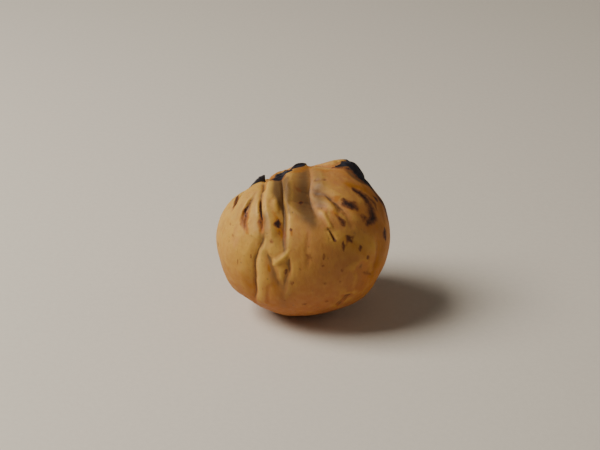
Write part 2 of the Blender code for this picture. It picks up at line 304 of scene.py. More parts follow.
def front_folds():
    """The folds of the front, from left to right, then those of its lower half."""
    return [
        # the left flank, under the burnt skin
        Furrow("front", [(-15.2, 15), (-16.2, 10.5), (-16.4, 5.5)], 0.6, 1.3, 0.9),
        # two slots that open downwards, each into a shallow hollow
        Furrow("front", [(-10.0, 13.5), (-11.3, 8), (-12.2, 4.8), (-11.9, 0)],
               depth=(0.1, 0.3, 0.6, 0.3), left=0.4, right=(0.7, 1.5), fade=(0.3, 0.4)),
        Furrow("front", [(-13.5, 25), (-10.8, 19.5), (-9.8, 14.5), (-9.1, 9), (-8.3, 4), (-8.6, 0)],
               depth=(0.9, 1.0, 0.5, 0.5, 0.6, 0.5), left=0.9, right=1.0, fade=(0.2, 0.2)),
        # the rim of burnt skin that stands up at the left of the crown
        Furrow("front", [(-15.6, 14.4), (-13.6, 16.0), (-11.4, 17.8)], -0.2, 0.8, 0.7, trough=0.0,
               fade=(0.5, 0.2)),
        # the long groove that goes on from the second slot to the foot
        Furrow("front", [(-7.8, 2.8), (-8.0, 0.1), (-9.3, -2.2), (-10.2, -5), (-10.8, -8.2),
                         (-11.8, -12.4), (-13.4, -19)],
               depth=(0.5, 0.75, 0.8, 0.85, 0.6), left=(1.4, 2.6, 2.8), right=(1.0, 1.3), sharp=0.1,
               lip=(1.8, 1.5), fade=(0.25, 0.25)),
        # the deep main groove beside the thin ridge, which comes over the crown
        Furrow("front", [(-7.5, 29), (-6, 20), (-4.9, 12), (-4.6, 7.5), (-4.0, 3), (-3.6, -3.4)],
               depth=(0.6, 0.3, 1.1, 1.4, 1.1, 0.7), left=(1.8, 2.4, 3.0, 2.4, 1.9), right=1.4,
               lip=(1.1, 1.9), sharp=0.2, trough=0.0, fade=(0.25, 0.14)),
        # the thick scorched edge of the crown, over the main groove
        Furrow("front", [(-10.0, 16.0), (-8.2, 17.6), (-6.4, 18.8), (-4.8, 19.4), (-3.6, 19.8)],
               depth=(-0.15, -0.5, -0.6, -0.38, -0.1), left=1.5, right=1.6, sharp=0.2, lip=1.4,
               trough=0.0, fade=(0.3, 0.3)),
        # the wide valley, from over the crown
        Furrow("front", [(3.8, 30), (2.0, 22), (1.8, 15.5), (1.8, 12.5), (2.1, 9.5), (2.6, 6.6),
                         (3.8, 3)],
               depth=(0.9, 0.5, 0.9, 1.9, 2.1, 1.4, 0.3), left=(2.2, 2.8, 3.8, 5.2, 5.4, 3.6, 1.6),
               right=(2.1, 2.2, 2.5, 3.0, 3.6, 3.2), lip=(1.1, 1.7), sharp=0.3, trough=0.0,
               fade=(0.25, 0.25)),
        # the right groove and the slit under it
        Furrow("front", [(2.2, 13.6), (4.4, 11.4), (6.6, 9.2), (8.6, 6.8), (10.5, 4)],
               depth=(0.3, 0.7, 0.85, 0.6, 0.4), left=(1.4, 2.0), right=(1.3, 1.8), sharp=0.2,
               trough=0.2, fade=(0.25, 0.3)),
        Furrow("front", [(4.4, 9.8), (5.6, 8.4), (6.6, 7.0), (7.5, 4.8)], -0.2, 1.1, 0.8, sharp=0.1,
               trough=0.0, fade=(0.4, 0.3)),
        Furrow("front", [(5.2, 2.9), (5.8, 1.3), (6.5, -0.7)], 0.2, 0.5, 0.9, sharp=0.6),
        # the lower front
        Furrow("front", [(-7.2, -1.4), (-7.0, -3.4), (-6.6, -5.4), (-6.0, -7.6), (-5.3, -10.2),
                         (-5.0, -13)], 0.48, 2.1, 1.3, sharp=0.0),
        Furrow("front", [(-3.0, -3), (-3.2, -6), (-3.9, -9), (-4.3, -14)], 0.35, 1.2, 1.1, sharp=0.1),
        Furrow("front", [(-6.6, -5.4), (-5.4, -4.5), (-4.6, -3.9), (-3.7, -3.1), (-2.8, -1.4)],
               -0.3, 0.9, 1.0, sharp=0.0, trough=0.0),
        Furrow("front", [(12.0, -4), (13.8, -8), (14.6, -13)], 0.35, 2.2, 2.0, sharp=0.0),
        Furrow("front", [(11.8, -12), (10.6, -14.8), (9.0, -18)], 0.4, 1.3, 0.8),
    ]


def back_folds():
    """The folds of the back, where some of the crown's run on and others begin."""
    return [
        Furrow("back", [(0.4, 13), (2.5, 7), (3.0, 0), (1.5, -10)],
               depth=(1.0, 1.7, 1.4, 0.6), left=3.6, right=0.9, lip=1.4, trough=0.15),
        Furrow("back", [(-4.6, 8), (-5.2, 3), (-4.6, -2), (-5.2, -9)],
               depth=(1.0, 1.4, 0.7), left=0.9, right=2.2),
        Furrow("back", [(-7.0, 14), (-9.2, 7), (-9.8, 1), (-8.8, -8), (-7.6, -15)],
               depth=(0.9, 1.3, 1.0, 0.7), left=1.8, right=1.1),
        Furrow("back", [(6.6, 8), (8.2, 4), (8.8, -1), (10.4, -9)],
               depth=(0.9, 1.2, 0.9, 0.5), left=1.1, right=1.9),
        Furrow("back", [(11.0, 12), (13.2, 5), (13.8, -5)], 0.9, 1.6, 1.1),
        Furrow("back", [(-13.0, 11), (-15.0, 3), (-14.6, -6)], 0.9, 1.2, 1.6),
        Furrow("back", [(4.6, -3), (5.0, -8), (4.0, -15)], 0.6, 1.4, 0.9),
    ]


def main_folds():
    """The folds that the solid has too."""
    return front_folds() + back_folds()


def fine_front_folds():
    """The creases and cracks of the front."""
    return [
        # the curled edge of the left flank
        Furrow("front", [(-13.4, 17.4), (-15.4, 14.6), (-16.6, 11.9), (-16.9, 9.8), (-16.9, 7.6)],
               depth=(0.3, 0.45, 0.6, 0.5), left=0.3, right=(0.6, 0.9), sharp=1.0, lip=1.3,
               trough=0.1, fade=(0.2, 0.2), rim=0.14),
        # the two slots
        Furrow("front", [(-10.8, 10.2), (-11.6, 8.4), (-12.1, 6.9), (-12.7, 5.4), (-12.5, 3.6)],
               depth=(0.3, 0.4, 0.4, 0.25), left=0.2, right=(0.35, 0.8), sharp=1.0, lip=1.2,
               trough=0.1, fade=(0.25, 0.35), rim=0.2),
        Furrow("front", [(-9.3, 9.8), (-9.1, 8.2), (-8.9, 6.6), (-8.5, 4.6)],
               depth=(0.3, 0.45, 0.4), left=0.18, right=0.35, sharp=1.0, lip=1.2, trough=0.1,
               fade=(0.35, 0.3), rim=0.16),
        # a soft crease above the second slot
        Furrow("front", [(-10.2, 14.6), (-9.4, 12.6), (-8.9, 10.8)], 0.3, 0.5, 0.9, trough=0.2),
        # the bottom of the main groove
        Furrow("front", [(-6.0, 16.8), (-5.0, 12.6), (-4.5, 9.0), (-4.2, 6.0), (-4.0, 3.4)],
               depth=(0.3, 0.35, 0.2), left=0.9, right=0.8, sharp=0.5, trough=0.2, fade=(0.2, 0.4)),
        # the soft lump on the left wall of the main groove
        Furrow("front", [(-6.3, 10.6), (-6.1, 8.0), (-5.9, 4.8)], -0.3, 1.2, 0.9, sharp=0.0,
               trough=0.0, fade=(0.5, 0.5)),
        # the cap: the crease across it and the curled lip over its edge
        Furrow("front", [(2.8, 15.1), (4.2, 14.6), (6.4, 14.2)], 0.22, 0.6, 0.8, trough=0.2),
        Furrow("front", [(3.2, 21.2), (4.8, 20.6), (5.9, 19.7), (7.0, 18.7), (8.4, 18.2)],
               depth=(0.3, 0.5, 0.4), left=0.4, right=0.9, sharp=0.9, trough=0.1, fade=(0.25, 0.25)),
        Furrow("front", [(3.4, 22.6), (5.6, 21.4), (7.4, 20.4), (9.2, 19.6)], -0.45, 1.2, 1.0,
               sharp=0.0, trough=0.1, fade=(0.25, 0.25)),
        # the edge of the scorched crown over the main groove
        Furrow("front", [(-9.4, 15.2), (-8.0, 16.6), (-6.0, 17.9), (-4.2, 18.2)], 0.35, 0.9, 0.45,
               sharp=0.9, trough=0.1, fade=(0.2, 0.25)),
        # the bottom of the right groove and the soft ridges on its left
        Furrow("front", [(2.8, 12.8), (4.2, 11.2), (5.9, 9.5), (7.2, 8.2)], 0.14, 0.9, 0.7, sharp=0.3,
               trough=0.1, fade=(0.3, 0.3)),
        Furrow("front", [(3.7, 9.0), (5.0, 7.0), (6.4, 4.6)], 0.10, 0.9, 0.9, sharp=0.2, trough=0.1),
        Furrow("front", [(3.9, 7.4), (4.7, 5.2), (5.6, 3.2), (6.3, 1.4)], -0.18, 0.8, 0.7, sharp=0.0,
               trough=0.0),
        # the right slit and the soft folds beside it
        Furrow("front", [(5.5, 2.3), (5.9, 1.4), (6.3, 0.5), (6.5, -0.3)],
               depth=(0.12, 0.28, 0.34), left=0.18, right=0.4, sharp=1.0, lip=1.2, trough=0.1,
               fade=(0.3, 0.25), rim=0.10),
        Furrow("front", [(8.4, 6.4), (9.6, 4.4), (10.2, 2.0)], 0.12, 0.9, 1.1, sharp=0.2, trough=0.2),
        Furrow("front", [(10.6, 12.6), (12.8, 11.0), (14.4, 8.8), (15.2, 6.0)], 0.14, 1.1, 0.9,
               sharp=0.2, trough=0.2),
        # the steps of the lower front
        Furrow("front", [(-8.2, 0.4), (-9.3, -2.2), (-10.2, -5.0), (-10.8, -8.4), (-11.6, -12.0),
                         (-12.7, -16.2)],
               depth=(0.1, 0.15, 0.22, 0.2), left=0.9, right=0.6, sharp=0.3, trough=0.2,
               fade=(0.3, 0.2)),
        Furrow("front", [(-7.4, -9.0), (-8.2, -13.0), (-8.8, -17.0)], 0.12, 0.8, 0.8, sharp=0.2,
               trough=0.3),
        Furrow("front", [(-2.6, -2.8), (-2.7, -5.0), (-2.8, -7.0)], 0.14, 0.3, 0.3, sharp=0.8),
        Furrow("front", [(1.2, 2.0), (0.8, -2.0), (1.4, -6.4)], 0.10, 1.0, 0.8, sharp=0.2, trough=0.3),
        Furrow("front", [(11.0, -12.0), (9.9, -14.4), (8.3, -16.8)], 0.18, 0.6, 0.5, sharp=0.6),
        Furrow("front", [(15.8, 1.6), (16.6, -3.0), (16.4, -8.0)], 0.18, 1.0, 1.0, sharp=0.2,
               trough=0.2),
    ]


def fine_flank_folds():
    """The creases of the left flank, then of the right one."""
    return [
        Furrow("front", [(-26.0, 17.0), (-27.6, 11.0), (-28.8, 4.0), (-28.2, -3.0), (-26.8, -8.0)],
               depth=(0.5, 0.8, 0.8, 0.55, 0.3), left=1.8, right=0.9, sharp=0.3),
        Furrow("front", [(-31.4, 11.0), (-32.0, 5.0), (-31.6, -1.0), (-30.2, -7.0)],
               depth=(0.3, 0.5, 0.5, 0.3), left=0.9, right=1.3, sharp=0.3),
        Furrow("front", [(-26.8, -4.0), (-26.0, -9.0), (-27.0, -14.0)], 0.25, 0.8, 0.8, sharp=0.3),
        Furrow("front", [(26.0, 13.0), (27.6, 7.0), (28.8, 1.6), (28.0, -4.4)],
               depth=(0.4, 0.7, 0.7, 0.4), left=0.9, right=1.8, sharp=0.3),
        Furrow("front", [(31.8, 10.0), (31.8, 3.0), (30.2, -5.0), (28.0, -11.0)],
               depth=(0.3, 0.5, 0.5, 0.3), left=1.3, right=0.8, sharp=0.3),
    ]


def fine_back_folds():
    """The creases and cracks of the back."""
    return [
        Furrow("back", [(0.4, 9.6), (1.8, 6.6), (2.8, 2.4)],
               depth=(0.4, 0.7, 0.4), left=0.8, right=0.35, sharp=1.0, trough=0.15),
        Furrow("back", [(-5.2, 6.4), (-5.6, 3.6), (-5.0, 0.6)], depth=(0.6, 1.0, 0.6), left=0.55,
               right=0.3, sharp=1.0, lip=1.2, trough=0.1, fade=(0.3, 0.3)),
        Furrow("back", [(-8.9, 8.6), (-9.8, 5.2), (-10.2, 0.6)], depth=(0.5, 0.8, 0.4), left=0.6,
               right=0.3, sharp=1.0, trough=0.1),
        Furrow("back", [(7.0, 8.2), (8.0, 5.0), (8.4, 1.8)], depth=(0.6, 1.0, 0.5), left=0.3,
               right=0.7, sharp=1.0, lip=1.2, trough=0.1, fade=(0.25, 0.35), rim=0.14),
        Furrow("back", [(12.4, 9.0), (13.6, 6.0), (14.0, 2.0)], depth=(0.4, 0.6, 0.3), left=0.35,
               right=0.9, sharp=1.0, trough=0.1, fade=(0.25, 0.3), rim=0.12),
        Furrow("back", [(5.2, 8.8), (5.8, 6.2), (5.6, 3.6)], 0.4, 0.6, 0.8, trough=0.2),
        Furrow("back", [(-13.0, 9.0), (-14.0, 6.0), (-14.8, 2.4)], 0.35, 0.5, 0.9, trough=0.2),
        Furrow("back", [(0.6, -2.0), (0.0, -7.6), (-1.2, -13.0)], 0.25, 0.7, 0.5, trough=0.2),
        Furrow("back", [(9.4, -6.0), (10.6, -10.6), (10.2, -16.0)], 0.3, 0.6, 0.5, trough=0.2),
        Furrow("back", [(-9.6, -6.0), (-8.8, -11.6), (-7.0, -17.0)], 0.3, 0.5, 0.5, trough=0.2),
    ]


def fine_folds():
    """The creases and cracks that only this kernel has."""
    return fine_front_folds() + fine_flank_folds() + fine_back_folds()


def body_radius(out):
    """The plump body without its folds: millimetres from the middle."""
    radius = 1.0 / np.linalg.norm(out / (HALF_WIDTH, HALF_DEPTH, HALF_HEIGHT), axis=1)
    for longitude, latitude, reach, height in SWELLINGS.values():
        turn, lift = np.radians(longitude), np.radians(latitude)
        centre = np.array([np.cos(turn) * np.cos(lift), np.sin(turn) * np.cos(lift), np.sin(lift)])
        angle = np.degrees(np.arccos(np.clip(out @ centre, -1.0, 1.0)))
        radius += height * np.exp(-(angle / reach) ** 2)
    return radius


def kernel_surface(out, folds):
    """The kernel's points in these directions, in millimetres of the design."""
    radius = body_radius(out)
    shift = np.zeros_like(out)
    felt = wander(out, **FOLD_WAVER)
    for furrow in folds:
        chosen, sunk, drawn = furrow.press(felt)
        radius[chosen] -= sunk
        shift[chosen] += drawn
    points = out * radius[:, None] + shift + MIDDLE
    points[:, 2] = np.maximum(points[:, 2], 0.0)
    return points


def in_frame(points):
    """Points of the design, in millimetres, as points of the frame."""
    origin = ((CAD_LOW.x + CAD_HIGH.x) / 2, (CAD_LOW.y + CAD_HIGH.y) / 2, CAD_LOW.z)
    return points * MM + origin


# ---- the marks of the roast, with painted shade and painted light ---------------------
class Mark(Course):
    """A stain along a course: char is burnt black, scorch is dark brown, toast is a
    warm tan bloom, hollow is painted shade in folds and hollows, pale is painted
    light on crests and banks.  It is strongest on its course, or at its one place, and
    gone at its reach.
    A stain with one reach for its whole course narrows towards both ends."""

    # A stain with one place runs this far to each side of it.
    SPOT = 0.1

    def __init__(self, kind, face, stops, reach, strength=1.0):
        narrows = len(stops) > 1 and np.ndim(reach) == 0
        if len(stops) == 1:
            (across, up), = stops
            stops = [(across - self.SPOT, up + self.SPOT), (across + self.SPOT, up - self.SPOT)]
        super().__init__(face, stops)
        self.kind = kind
        self.reach = spread(reach, self.share)
        if narrows:
            self.reach *= END_REACH + (1.0 - END_REACH) * np.sin(math.pi * self.share)
        self.strength = spread(strength, self.share)

    def lay(self, out, field):
        """Lay the stain into the field of its kind, where it is the stronger."""
        chosen = self.within(out, self.reach.max())
        position, offset, _ = self.locate(out[chosen])
        share = np.clip(np.abs(offset) / along(self.reach, position), 0.0, 1.0)
        value = along(self.strength, position) * (1.0 - share)
        field[chosen] = np.maximum(field[chosen], value)


def stains(kind, face, rows):
    """Stains of one kind on one face: each row gives the stops, the reach and, where it
    isn't full, the strength."""
    return [Mark(kind, face, *row) for row in rows]


def burnt_crown():
    """Char of the front, from the left of the crown to the right peak, and one fleck."""
    return stains("char", "front", [
        ([(-14.2, 13.8), (-12.9, 15.0), (-11.9, 16.0)], (0.4, 0.6, 0.4)),
        ([(-7.3, 16.1), (-6.4, 17.0), (-5.2, 17.7), (-4.2, 18.1), (-3.4, 18.6)],
         (1.35, 1.4, 1.1, 0.8, 0.5), 1.5),
        ([(-2.9, 19.4), (-1.6, 20.6), (-0.4, 21.5), (0.9, 22.4)], (0.6, 1.0, 1.0, 0.6), 1.5),
        ([(8.6, 18.4), (9.9, 18.5), (11.4, 18.6), (13.3, 17.4), (14.9, 16.0), (16.4, 14.5),
          (17.5, 13.2)], (0.3, 0.7, 1.4, 1.6, 1.3, 0.9, 0.6), 1.3),
        ([(12.8, 20.6), (14.4, 19.0), (16.2, 17.0)], (1.0, 1.6, 1.2)),
        ([(4.45, 7.5), (4.6, 7.3)], 0.15, 0.7),
    ])


def crown_scorch():
    """Scorch around the burnt crown and down the edge of the right shoulder."""
    return stains("scorch", "front", [
        ([(9.6, 17.9), (11.6, 17.0), (13.6, 15.6), (15.6, 14.2)], (0.6, 0.9, 0.8, 0.7), 0.7),
        ([(17.0, 13.4), (18.0, 12.0), (18.8, 10.8), (20.3, 9.0), (21.4, 7.0), (22.0, 5.0)],
         (0.7, 0.8, 1.0, 1.1, 1.0, 0.8), (0.8, 0.6, 0.8, 0.9, 0.8, 0.5)),
        ([(-8.4, 14.6), (-6.8, 15.6), (-4.6, 16.4)], (0.8, 1.0, 0.9), 0.55),
        ([(-9.2, 17.0), (-7.8, 18.6), (-5.6, 19.6), (-3.8, 19.8)], 0.9, 0.45),
        ([(4.3, 20.6), (4.8, 20.3)], 0.5, 0.85),
        ([(7.6, 18.7), (8.5, 18.2), (9.6, 18.2)], 0.45, 0.75),
    ])


def shoulder_blotches():
    """The blotches of the right shoulder, the spots below them and the slit's dark edge."""
    return stains("scorch", "front", [
        ([(11.6, 11.5), (12.7, 10.4), (13.8, 9.0)], (1.0, 1.5, 1.4), (0.8, 1.0, 0.95)),
        ([(14.2, 10.2), (15.4, 8.8), (16.2, 7.0)], 1.5, 0.5),
        ([(13.8, 8.8), (14.4, 7.2), (14.9, 5.8)], (1.4, 1.5, 1.6), (0.85, 0.62, 0.9)),
        ([(15.0, 6.2), (15.0, 5.0), (14.4, 4.2)], (1.3, 1.7, 1.3), (0.8, 1.05, 0.9)),
        ([(13.5, 5.0), (12.5, 5.0)], 1.0, 0.5),
        ([(8.7, 9.2), (9.6, 8.3), (10.7, 7.4), (11.7, 6.6)], (0.7, 1.1, 1.2, 0.9),
         (0.7, 0.95, 1.0, 0.6)),
        ([(6.7, 5.2), (7.3, 4.4), (7.9, 3.5)], (0.45, 0.7, 0.85), (0.3, 0.55, 0.8)),
        ([(17.0, 10.4), (17.8, 9.5)], 0.9, 0.85),
        ([(18.7, 2.3), (18.7, -0.3)], 1.0, 0.85),
        ([(9.0, 0.6), (9.6, -0.4)], 1.45, 0.75),
        ([(8.1, -0.3), (8.1, -1.9)], 0.6, 0.7),
        ([(11.2, -1.6), (11.2, -2.0)], 0.65, 0.7),
        ([(13.9, -3.6)], 0.6, 0.6),
        ([(5.6, 1.9), (6.0, 1.1), (6.5, 0.0)], (0.12, 0.3, 0.44), (0.7, 0.85, 0.95)),
    ])


def groove_scorch():
    """Scorch of the curled edge, the slots and the ridge beside the main groove."""
    return stains("scorch", "front", [
        ([(-12.9, 13.9), (-14.0, 13.4), (-15.4, 13.4), (-16.5, 13.2)], 0.3, (0.85, 0.85, 0.8, 0.7)),
        ([(-15.8, 15.2), (-17.2, 13.4), (-17.2, 11.4), (-17.1, 9.6), (-16.8, 7.4)],
         (0.24, 0.26, 0.24, 0.27, 0.18), (0.8, 0.85, 0.9, 0.9)),
        ([(-11.3, 8.9), (-12.0, 7.3), (-12.5, 6.1), (-12.4, 5.2)], (0.06, 0.14, 0.22, 0.16),
         (0.8, 1.1, 1.1)),
        ([(-12.5, 5.2), (-12.3, 3.9), (-11.8, 2.8)], (0.7, 1.1, 0.6), (0.6, 0.45, 0.35)),
        ([(-9.2, 8.7), (-9.0, 7.2), (-8.8, 6.0), (-8.5, 4.6)], (0.12, 0.24, 0.28, 0.18), 1.2),
        ([(-8.6, 4.6), (-8.4, 3.4), (-8.3, 2.4)], (0.7, 1.0, 0.6), (0.55, 0.45, 0.35)),
        ([(-4.9, 2.9), (-4.2, 1.4), (-3.7, 0.0), (-3.6, -1.6)], (0.6, 0.8, 0.7, 0.5),
         (0.35, 0.5, 0.42, 0.2)),
        ([(-5.0, 1.9), (-4.9, 1.1)], 0.55, 0.5),
        ([(-5.6, 4.3), (-5.5, 3.4), (-5.4, 2.7)], 0.68, 1.2),
    ])


def front_spots():
    """Small spots strewn over the front."""
    return stains("scorch", "front", [
        ([(-2.5, 2.4), (-2.3, 1.9)], 0.5, 0.75),
        ([(-1.2, 9.1), (-1.0, 8.6)], 0.9, 0.85),
        ([(-1.9, 12.6)], 1.0, 0.45),
        ([(-6.0, -0.2)], 0.6, 0.5),
        ([(-3.3, -6.3), (-3.4, -7.0)], 0.8, 0.6),
        ([(-2.3, -8.4), (-2.0, -9.2)], 0.8, 0.35),
        ([(-4.3, -13.8), (-4.0, -13.9)], 0.7, 0.6),
        ([(-2.6, -3.0), (-2.7, -5.0), (-2.8, -7.0)], 0.2, 0.45),
        ([(4.2, -2.7), (4.1, -3.9)], 0.55, 0.5),
        ([(3.9, -5.0), (4.3, -5.0)], 0.5, 0.5),
        ([(1.0, -2.8), (1.8, -3.3)], 1.5, 0.36),
        ([(-0.4, -5.7)], 0.4, 0.42),
        ([(8.1, -6.2)], 0.5, 0.42),
        ([(4.6, -8.9)], 0.6, 0.38),
        ([(5.7, -14.4)], 0.6, 0.5),
        ([(0.3, -15.3), (1.1, -14.9)], 0.8, 0.5),
        ([(13.1, -7.2), (15.6, -7.7)], 1.3, 0.38),
        ([(-1.9, -8.6), (-1.9, -9.2)], 0.5, 0.45),
        ([(-11.0, -2.8), (-11.1, -4.1)], 0.3, 0.5),
        ([(-13.8, -4.0), (-14.1, -5.3)], 0.3, 0.5),
        ([(-14.9, 1.2)], 0.4, 0.4),
        ([(-15.8, 3.5)], 0.4, 0.4),
        ([(-20.9, -0.4), (-20.5, -1.7)], 0.5, 0.6),
    ])


def painted_shade_of_front():
    """A dark band under the right peak, then painted shade in the folds and hollows of the front."""
    return stains("hollow", "front", [
        ([(11.0, 16.9), (12.6, 15.6), (14.2, 14.5), (16.0, 13.6)], (0.9, 1.3, 1.3, 0.8),
         (0.7, 1.0, 0.9, 0.7)),
        ([(0.0, 19.8), (-0.3, 16.0), (-0.4, 12.4), (0.1, 9.2), (0.7, 6.8), (1.3, 5.0), (2.0, 3.4)],
         (2.8, 3.4, 3.8, 4.2, 3.8, 3.3, 2.6), (0.45, 0.48, 0.52, 0.62, 0.64, 0.6, 0.42)),
        ([(-1.8, 12.6), (-1.6, 9.6), (-1.6, 6.6)], (1.6, 1.9, 1.4), (0.3, 0.4, 0.25)),
        ([(-4.2, 15.0), (-3.8, 12.0), (-3.4, 9.0), (-3.1, 6.0)], (1.7, 1.5, 1.0),
         (0.55, 0.52, 0.4, 0.35)),
        ([(3.8, 19.0), (3.9, 14.0), (4.0, 10.4), (4.4, 8.0)], (2.2, 2.8, 2.6, 1.8),
         (0.26, 0.36, 0.44, 0.36)),
        ([(-7.0, 16.6), (-6.3, 14.0), (-6.0, 11.4), (-5.0, 8.6), (-4.1, 5.6), (-3.6, 1.8),
          (-3.4, -0.6)], (1.2, 1.9, 1.9, 1.5, 1.0, 0.8, 0.5), (0.8, 0.9, 0.7, 0.5)),
        ([(2.8, 13.0), (4.4, 11.4), (6.0, 9.8), (7.4, 8.3)], (0.5, 0.9, 0.9, 0.6), 0.4),
        ([(3.0, 15.3), (4.0, 15.1), (5.2, 14.8)], 0.45, 0.15),
        ([(-9.8, 13.0), (-9.2, 11.0), (-8.8, 9.4)], (0.4, 0.8, 0.4), 0.15),
        ([(-12.3, 5.2), (-11.9, 3.6)], (0.7, 0.5), 0.2),
        ([(-8.2, 0.4), (-9.6, -2.4), (-10.6, -5.0), (-11.2, -8.0), (-11.8, -10.4)],
         (0.6, 1.1, 1.4, 1.4, 0.8), (0.10, 0.18, 0.2, 0.16)),
        ([(-7.1, -2.4), (-6.9, -4.6), (-6.4, -7.2), (-5.6, -10.0)], (0.6, 1.0, 1.3, 0.9),
         (0.2, 0.3, 0.34, 0.2)),
        ([(-4.6, 3.4), (-3.8, 1.4), (-3.5, -0.4), (-3.5, -2.4)], (1.1, 1.3, 1.2, 0.8),
         (0.3, 0.45, 0.45, 0.3)),
        ([(-5.4, 1.6), (-5.0, -2.6), (-3.8, -6.0), (-3.6, -8.6), (-3.8, -11.0), (-4.6, -16.0)],
         (1.6, 2.4, 2.4, 2.4, 3.0, 3.0), (0.16, 0.14, 0.06, 0.32, 0.26, 0.18)),
        ([(-7.8, 4.8), (-7.8, 1.4), (-8.0, -2.6)], (1.8, 2.4, 1.9), (0.42, 0.34, 0.26)),
    ])


def painted_light_on_crests():
    """Painted light on crests, lips and banks of the front."""
    return stains("pale", "front", [
        ([(5.7, 7.2), (5.7, 5.8), (5.3, 4.2), (5.6, 2.8)], (0.6, 0.9, 0.8, 0.5), 0.6),
        ([(5.6, 0.8), (9.4, 0.0), (13.0, -0.6), (15.4, -1.2)], (3.0, 4.0, 4.0, 3.0), 0.55),
        ([(-8.2, 14.4), (-8.0, 12.0), (-7.8, 9.4)], (0.8, 1.0, 0.7), 0.7),
        ([(-12.2, 8.4), (-12.8, 6.8)], 0.5, 0.9),
        ([(-9.6, 8.0), (-9.4, 5.4)], 0.5, 0.7),
        ([(5.4, 21.6), (7.3, 21.4), (8.9, 20.2)], 1.3, 0.9),
        ([(-7.2, 0.2), (-8.1, -2.8), (-8.9, -6.1), (-9.4, -9.4), (-10.6, -14.5)],
         (0.6, 0.9, 1.0, 1.1, 0.9), (0.5, 0.6, 0.8, 0.7)),
        ([(-5.7, -3.8), (-4.8, -6.4), (-4.5, -9.6)], 0.7, 0.45),
        ([(-6.2, -5.1), (-4.8, -4.1), (-3.6, -3.0), (-2.8, -1.6)], 0.9, 0.8),
        ([(-16.0, 14.6), (-17.2, 12.2), (-17.9, 9.8)], 0.6, 0.8),
        ([(4.7, 1.6), (5.6, 0.2)], 0.5, 0.5),
    ])


def toast_blooms():
    """Warm tan blooms of the front, round its scorched places and low on its left."""
    return stains("toast", "front", [
        ([(10.2, 12.8), (13.0, 12.2), (16.0, 11.4), (18.4, 9.0), (18.4, 5.0)],
         (1.4, 2.0, 2.4, 2.6, 2.2), 0.85),
        ([(7.2, 10.0), (7.7, 9.2)], 1.4, 1.0),
        ([(10.4, 7.0), (13.0, 5.4), (15.6, 2.6)], (1.8, 2.4, 2.8), 0.6),
        ([(6.3, 6.0), (7.0, 5.0)], (1.0, 1.1), 0.85),
        # this bloom down the right flank is partly toast and partly painted orange bounce light
        ([(16.4, 3.4), (18.4, 0.4), (18.0, -4.0), (16.0, -8.0)], (2.6, 2.8, 2.8, 2.0), 0.8),
        ([(8.6, 0.2), (10.4, -1.4), (13.4, -3.8)], (1.6, 1.8, 1.4), 0.5),
        ([(-16.2, 7.6), (-15.7, 7.0)], 0.6, 1.0),
        ([(-12.3, 5.8), (-12.2, 4.2), (-11.6, 2.4)], (0.9, 1.3, 0.9), (1.2, 1.5, 1.2)),
        ([(-11.4, 6.8), (-11.2, 5.8)], 0.6, 0.7),
        ([(-8.6, 4.8), (-8.4, 3.4), (-8.3, 2.2)], (0.7, 1.1, 0.8), 1.5),
        ([(-7.6, 4.0), (-7.0, 2.4)], 1.2, 0.4),
        ([(-6.3, 6.0), (-6.1, 5.0)], 0.9, 0.65),
        ([(-5.9, 4.8), (-5.2, 3.0), (-5.0, 1.6), (-4.7, 0.6)], (0.9, 1.2, 1.2, 0.9),
         (0.8, 0.95, 0.95, 0.8)),
        ([(-2.3, 1.9), (-2.1, 1.0)], (0.6, 0.4), 0.95),
        ([(-7.5, -5.2), (-7.3, -6.2)], 0.8, 0.9),
        ([(-9.4, 15.6), (-9.0, 14.0), (-8.8, 12.6)], (0.8, 0.8, 0.5), 0.8),
        ([(-15.0, 12.6), (-12.6, 14.6), (-10.6, 16.6)], (0.8, 0.9, 0.8), 0.75),
        ([(-9.0, 16.2), (-7.8, 18.2), (-5.6, 19.4), (-3.4, 18.9)], (1.1, 1.3, 1.1), 1.0),
        ([(-2.6, 17.8), (0.2, 20.0), (2.4, 20.6)], (1.0, 1.4, 1.2), 0.7),
        ([(1.6, 21.4), (2.6, 20.6)], 0.9, 0.9),
        ([(3.6, 18.6), (5.4, 17.6), (7.0, 17.6)], (1.2, 1.5, 1.0), 0.6),
        ([(8.6, 17.0), (10.2, 16.6), (11.0, 15.2)], (1.4, 1.4, 1.2), 0.45),
        ([(4.2, 21.2), (6.2, 20.0), (8.0, 18.4)], (0.7, 0.8, 0.8), 0.7),
        ([(-6.2, -10.0), (-6.6, -13.0), (-8.0, -17.0)], (2.0, 2.6, 2.8), 0.5),
        ([(-13.6, -8.0), (-12.8, -12.0), (-13.0, -16.0)], (2.2, 2.8, 2.4), 0.55),
    ])


